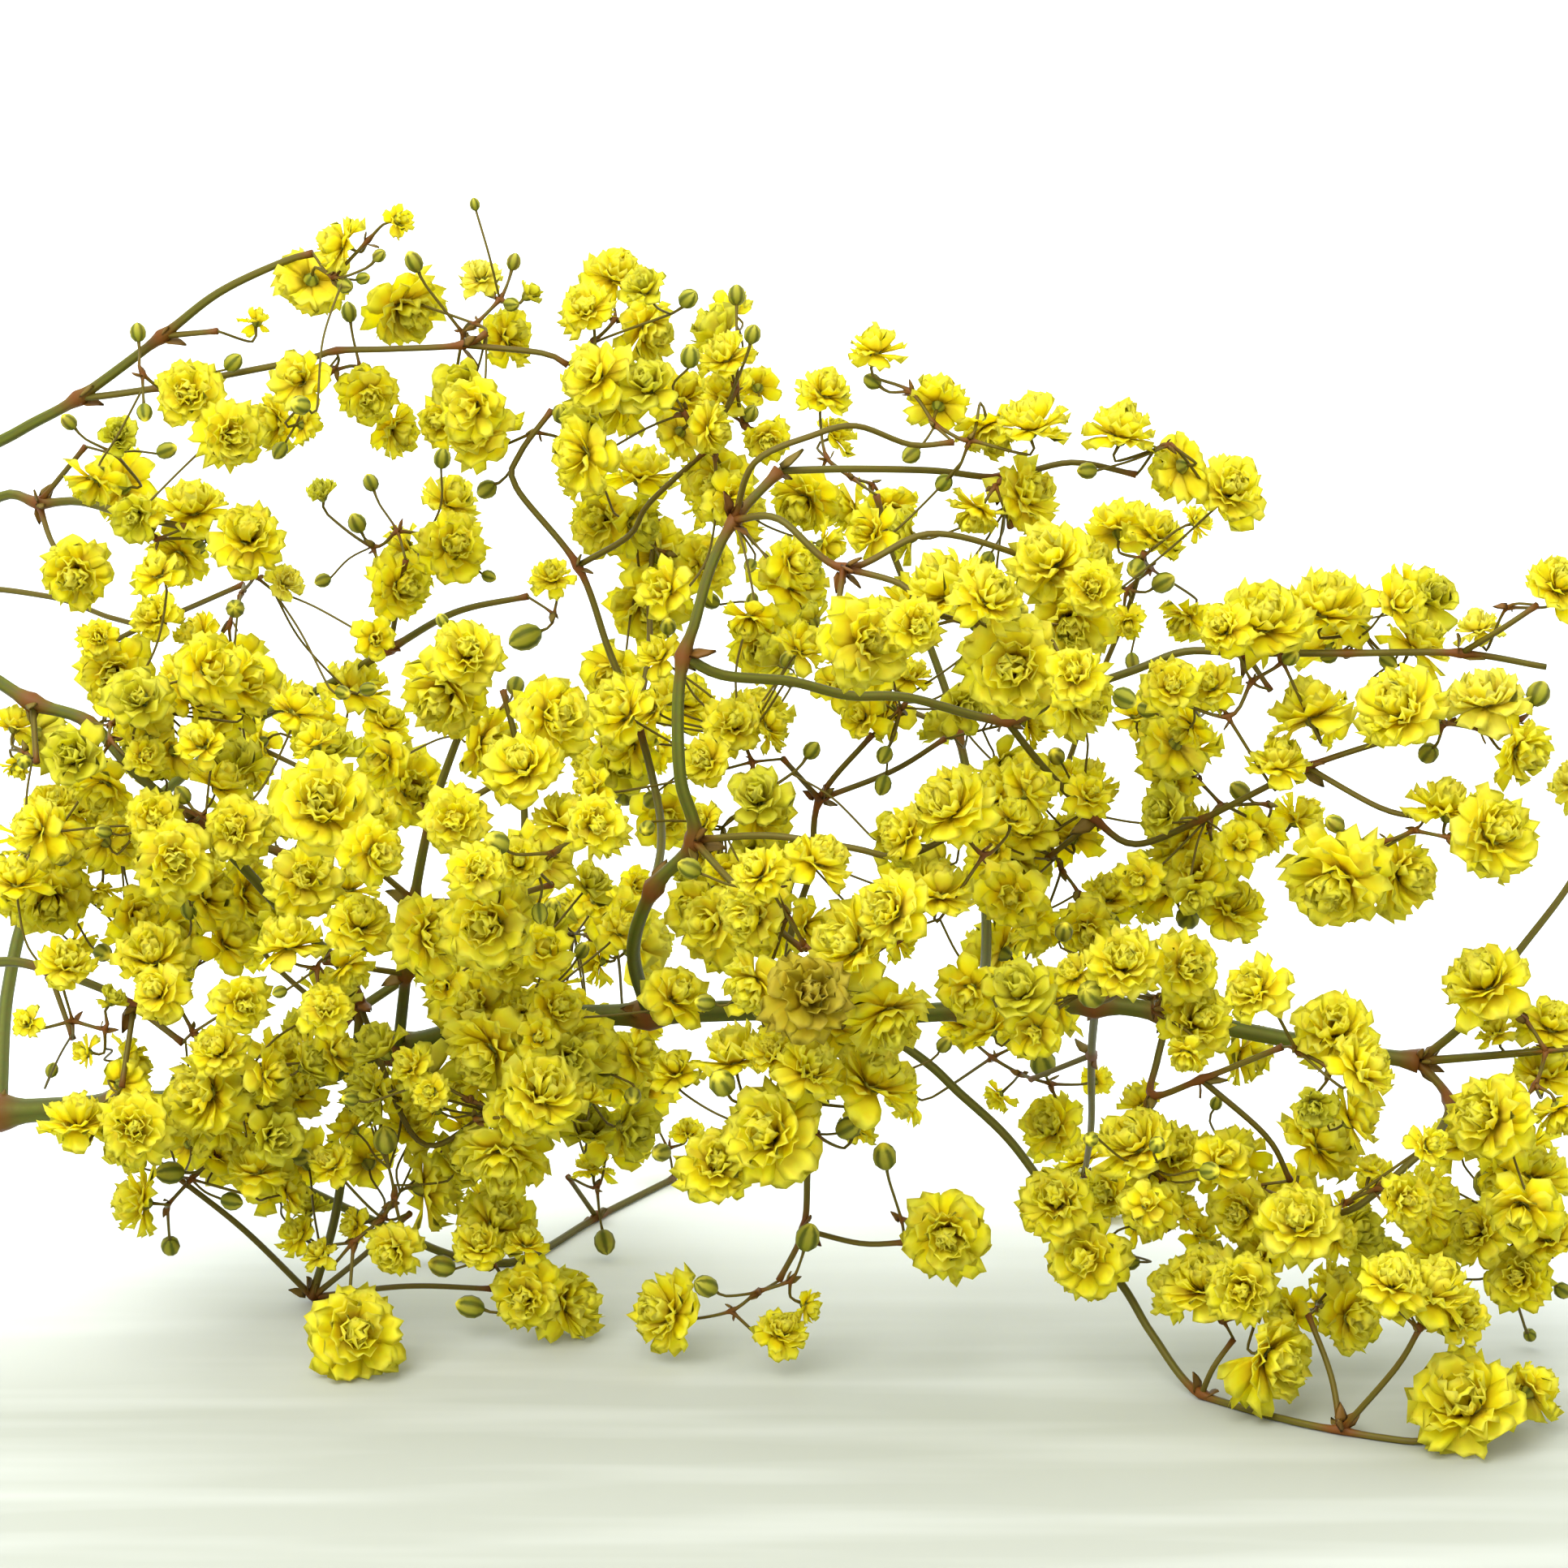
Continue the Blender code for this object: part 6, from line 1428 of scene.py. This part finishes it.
# Where the crown is too crowded to read bloom by bloom: picture ellipses (across, down, half width, half
# height), how many more small blooms stand there at most, and their depths in mm
crowded = [
    (600, 1130, 290, 230, 112, -16, 30), (150, 600, 150, 110, 16, -6, 22), (230, 1000, 240, 210, 78, -12, 26),
    (1010, 1180, 180, 230, 52, -16, 18), (1150, 770, 230, 130, 38, -8, 20), (1370, 1030, 170, 170, 36, -8, 16),
    (1610, 1450, 300, 160, 32, -26, 0), (820, 560, 130, 240, 18, -4, 22), (520, 420, 190, 130, 4, 0, 24),
    (1740, 820, 190, 100, 14, -8, 14), (620, 860, 230, 130, 44, -6, 26), (380, 1350, 380, 150, 98, -14, 18),
    (880, 1380, 160, 110, 24, -12, 12), (1090, 1245, 240, 45, 26, -26, -7), (300, 1350, 260, 60, 16, -8, 6),
]
crowdedLook = {
    "bloom": (23, 39),
    "bud": (9, 14),
    "budShare": 0.16,
    "green": (0.0, 0.0, 0.0, 0.4),
    "tries": 20,
    "room": 0.42,
    "stops": (0, 0.25, 0.5, 0.75),
    "leastStalk": 1.5 * mm,
    "reach": 15 * mm,
    "straightEnd": (1.4 * mm, 0.35),
    "bow": 0.05,
    "sides": 5,
}


def crowdedHeads(layout, limbs, lines, draws):
    # small blooms and buds at drawn places, each kept where at one of some drawn depths it has room to stand
    grown = np.vstack([line for line, _ in lines])
    owners = [limb for line, limb in lines for _ in line]
    tips = [i for i, kind in enumerate(layout.kind) if kind in ("bloom", "bud")]
    taken = [(layout.place[i], layout.radius[i]) for i in tips]
    for twigs in limbs.values():
        for points, thick in twigs:
            taken += [(a + (b - a) * t, thick[0]) for a, b in zip(points[:-1], points[1:])
                      for t in crowdedLook["stops"]]
    centres, radii = np.array([place for place, _ in taken]), np.array([radius for _, radius in taken])
    heads = []
    for across, down, wide, high, count, near, far in crowded:
        for _ in range(count):
            turn, share = draws.uniform(0, 2 * math.pi), math.sqrt(draws.uniform())
            x, y = across + wide * share * math.cos(turn), down + high * share * math.sin(turn)
            kind = "bud" if draws.uniform() < crowdedLook["budShare"] else "bloom"
            radius = draws.uniform(*crowdedLook[kind]) * seen["pixel"]
            lowest = spot(x, y, onFloor, lift=radius)[1] / mm
            depths = np.minimum(draws.uniform(near, far, crowdedLook["tries"]), lowest)
            places = np.array([spot(x, y, float(depth)) for depth in depths])
            gaps = (np.linalg.norm(centres[None] - places[:, None], axis=2) - radii).min(1)
            best = places[int(np.argmax(gaps))]
            away = np.linalg.norm(grown - best, axis=1)
            away[away < radius + crowdedLook["leastStalk"]] = 1.0
            nearest = int(np.argmin(away))
            if gaps.max() < radius * crowdedLook["room"] or away[nearest] > crowdedLook["reach"]:
                continue
            centres, radii = np.vstack((centres, best)), np.append(radii, radius)
            heads.append((kind, best, radius, grown[nearest], owners[nearest]))
    return heads


def addCrowded(layout, limbs, lines, blooms, stalks, draws):
    # each on a slightly bowed stalk of its own from the nearest stalk
    heads, look = crowdedHeads(layout, limbs, lines, draws), crowdedLook
    for kind, centre, radius, start, limb in heads:
        axis = unit(unit(centre - start) + np.array((0, 0, facing["up"])) - sight(centre) * facing["viewer"]
                    + draws.normal(size=3) * facing["chance"])
        head = dict(plainHead, kind=kind, centre=centre, radius=radius, axis=axis,
                    green=draws.choice(look["green"]), swing=draws.uniform(*anyTurn), plain=1)
        foot = centre + axis * radius * (calyxLook["foot"] + stalkLook["intoCalyx"])
        length = np.linalg.norm(foot - start)
        before = foot - axis * min(look["straightEnd"][0], look["straightEnd"][1] * length)
        middle = (start + before) / 2 + draws.normal(size=3) * length * look["bow"]
        line, widths = smoothLine(np.array((start, middle, before, foot)), np.full(4, budLook["extraStalk"]),
                                  stalkLook["step"])
        line[:, 2] = np.maximum(line[:, 2], widths)
        addTube(stalks[limb], line, widths, look["sides"], np.full(len(line), stalkLook["thinBrown"]))
        addHead(head, blooms[limb], stalks[limb], draws)
    print("added", len(heads), "small blooms and buds where the crown is crowded")


def dress(blooms, stalks, nodes):
    # a piece of stalks and a piece of petals for each limb, in place of the limb's own solids
    petals, wood = [petalMaterial()], [stalkMaterial(), calyxMaterial()]
    triangles = 0
    for name, (_, fused, _) in limbRoutes.items():
        stem = stalks[name].build(name + "_stalks", wood)
        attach(stem, "root")
        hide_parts(*sorted(set([name] + nodes[name])))
        pieces = [stem]
        if blooms[name].count:
            bloom = blooms[name].build(name + "_blooms", petals, petalLook["settle"])
            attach(bloom, "root")
            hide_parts(*([name] if fused else []), *nodes[name])
            pieces.append(bloom)
        for piece in pieces:
            triangles += sum(len(polygon.vertices) - 2 for polygon in piece.data.polygons)
    print("triangles in all", triangles)


def main():
    limbs, courses = layLimbs()
    layout = laySprays(limbs)
    pushClear(layout, limbs)
    layout.pictured = {i: pictured(layout.place[i]) for i, kind in enumerate(layout.kind) if kind == "bloom"}
    print("laid out", layout.kind.count("bloom"), "blooms and", layout.kind.count("bud"), "buds")

    draws = np.random.default_rng(layoutRules["seed"] + 7)
    blooms = {name: Surface() for name in limbRoutes}
    stalks = {name: Surface() for name in limbRoutes}
    home = {f"spray_{number + 1:02d}": foot[0] for number, foot in enumerate(sprayFeet)}
    home.update({name: name for name in limbRoutes})
    bases = {name: [] for name in limbRoutes}
    for stalk in layout.stalks:
        if layout.kind[stalk[0]] == "base":
            bases[home[layout.node[stalk[0]]]].append(np.array(layout.place[stalk[0]]))

    fine = drawStems(courses, bases, stalks, draws)
    drawn = drawSprays(layout, home, fine, blooms, stalks, draws)
    addExtraBuds(layout, stalks, home, draws)
    addCrowded(layout, limbs, drawn, blooms, stalks, draws)
    dress(blooms, stalks, {name: sorted({node for node in layout.node if home[node] == name and node != name})
                           for name in limbRoutes})


main()


# The surface and what is behind it: one sheet that bends up into a wall, with light painted on it from grey in front
# to white at the back
studio = {
    "halfWidth": 1.5,
    "front": -0.8,
    "bend": 0.35,
    "bendRadius": 0.5,
    "bendSteps": 24,
    "wallTop": 1.6,
    # painted light: the depths in metres over which the sheet's colour lightens from near to far
    "painted_light_fade": (-0.03, 0.06),
    "near": (162, 166, 156),
    "far": (240, 246, 246),
    "streaks": (3, 26, 3),
    "grain": 0.16,
    "fill": 1.35,
    "sensor": 36,
}
# Lights: place, what they aim at, size in metres, watts and colour
lamps = {
    "top light": ((-0.2, 0.1, 1.1), (0, 0.05, 0), 1.0, 5, (1.0, 1.0, 1.0)),
    "front light": ((-0.3, -0.8, 0.9), (0, 0, 0.05), 0.9, 17, (1.0, 0.99, 0.97)),
}


def surfaceMaterial():
    # painted light: greyer under the stem, lighter towards the back and white from just behind the stem on, over the
    # bend and the wall, which also lightens the shadow behind the crown
    finish = Finish("surface")
    split = finish.nodes.new("ShaderNodeSeparateXYZ")
    finish.links.new(finish.place, split.inputs[0])
    streaks = finish.nodes.new("ShaderNodeMapping")
    streaks.inputs["Scale"].default_value = studio["streaks"]
    finish.links.new(finish.place, streaks.inputs["Vector"])
    finish.links.new(streaks.outputs["Vector"], finish.noise.inputs["Vector"])
    pale, white = linear(*studio["near"]), linear(*studio["far"])
    near = finish.blend(finish.speckle(0.45, 0.75, studio["grain"]), pale, white)
    # painted light: lighter towards the back, which also lifts the shadow cast behind the crown
    away = finish.ramp(split.outputs["Y"], *studio["painted_light_fade"])
    return finish.coat(finish.blend(away, near, white), 0.8, 0.2)


def sweep():
    # a straight floor, a quarter turn of bendRadius and a straight wall, as wide as twice halfWidth
    turn = np.linspace(0, math.pi / 2, studio["bendSteps"])
    y = np.concatenate(([studio["front"], 0.0], studio["bend"] + studio["bendRadius"] * np.sin(turn),
                        [studio["bend"] + studio["bendRadius"]]))
    z = np.concatenate(([0.0, 0.0], studio["bendRadius"] * (1 - np.cos(turn)), [studio["wallTop"]]))
    points = [(x, b, c) for b, c in zip(y, z) for x in (-studio["halfWidth"], studio["halfWidth"])]
    faces = [(2 * i, 2 * i + 1, 2 * i + 3, 2 * i + 2) for i in range(len(y) - 1)]
    mesh = bpy.data.meshes.new("sweep")
    mesh.from_pydata(points, [], faces)
    mesh.polygons.foreach_set("use_smooth", np.ones(len(faces), bool))
    mesh.materials.append(surfaceMaterial())
    floor = bpy.data.objects.new("sweep", mesh)
    bpy.context.scene.collection.objects.link(floor)


def areaLight(name, place, aim, size, power, colour):
    # a square light turned from straight down to face what it aims at
    light = bpy.data.lights.new(name, "AREA")
    light.size, light.energy, light.color = size, power, colour
    lamp = bpy.data.objects.new(name, light)
    lamp.location = place
    across, along, up = np.array(aim) - np.array(place)
    lamp.rotation_euler = (math.atan2(math.hypot(across, along), -up), 0, math.atan2(-across, along))
    bpy.context.scene.collection.objects.link(lamp)


sweep()
for name, values in lamps.items():
    areaLight(name, *values)

world = bpy.data.worlds.new("fill")
world.use_nodes = True
world.node_tree.nodes["Background"].inputs["Color"].default_value = (1, 1, 1, 1)
world.node_tree.nodes["Background"].inputs["Strength"].default_value = studio["fill"]
bpy.context.scene.world = world
bpy.context.scene.view_settings.view_transform = "Standard"

camera = bpy.data.cameras.new("camera")
camera.lens = studio["sensor"] * seen["distance"] / seen["pixel"] / seen["picture"]
camera.sensor_width = studio["sensor"]
camera.clip_start = 0.01
viewer = bpy.data.objects.new("camera", camera)
viewer.location = (shift[0], shift[1] + eye[1], eye[2])
viewer.rotation_euler = (math.pi / 2 - seen["tilt"], 0, 0)
bpy.context.scene.collection.objects.link(viewer)
bpy.context.scene.camera = viewer
print("surface, lights and camera placed")
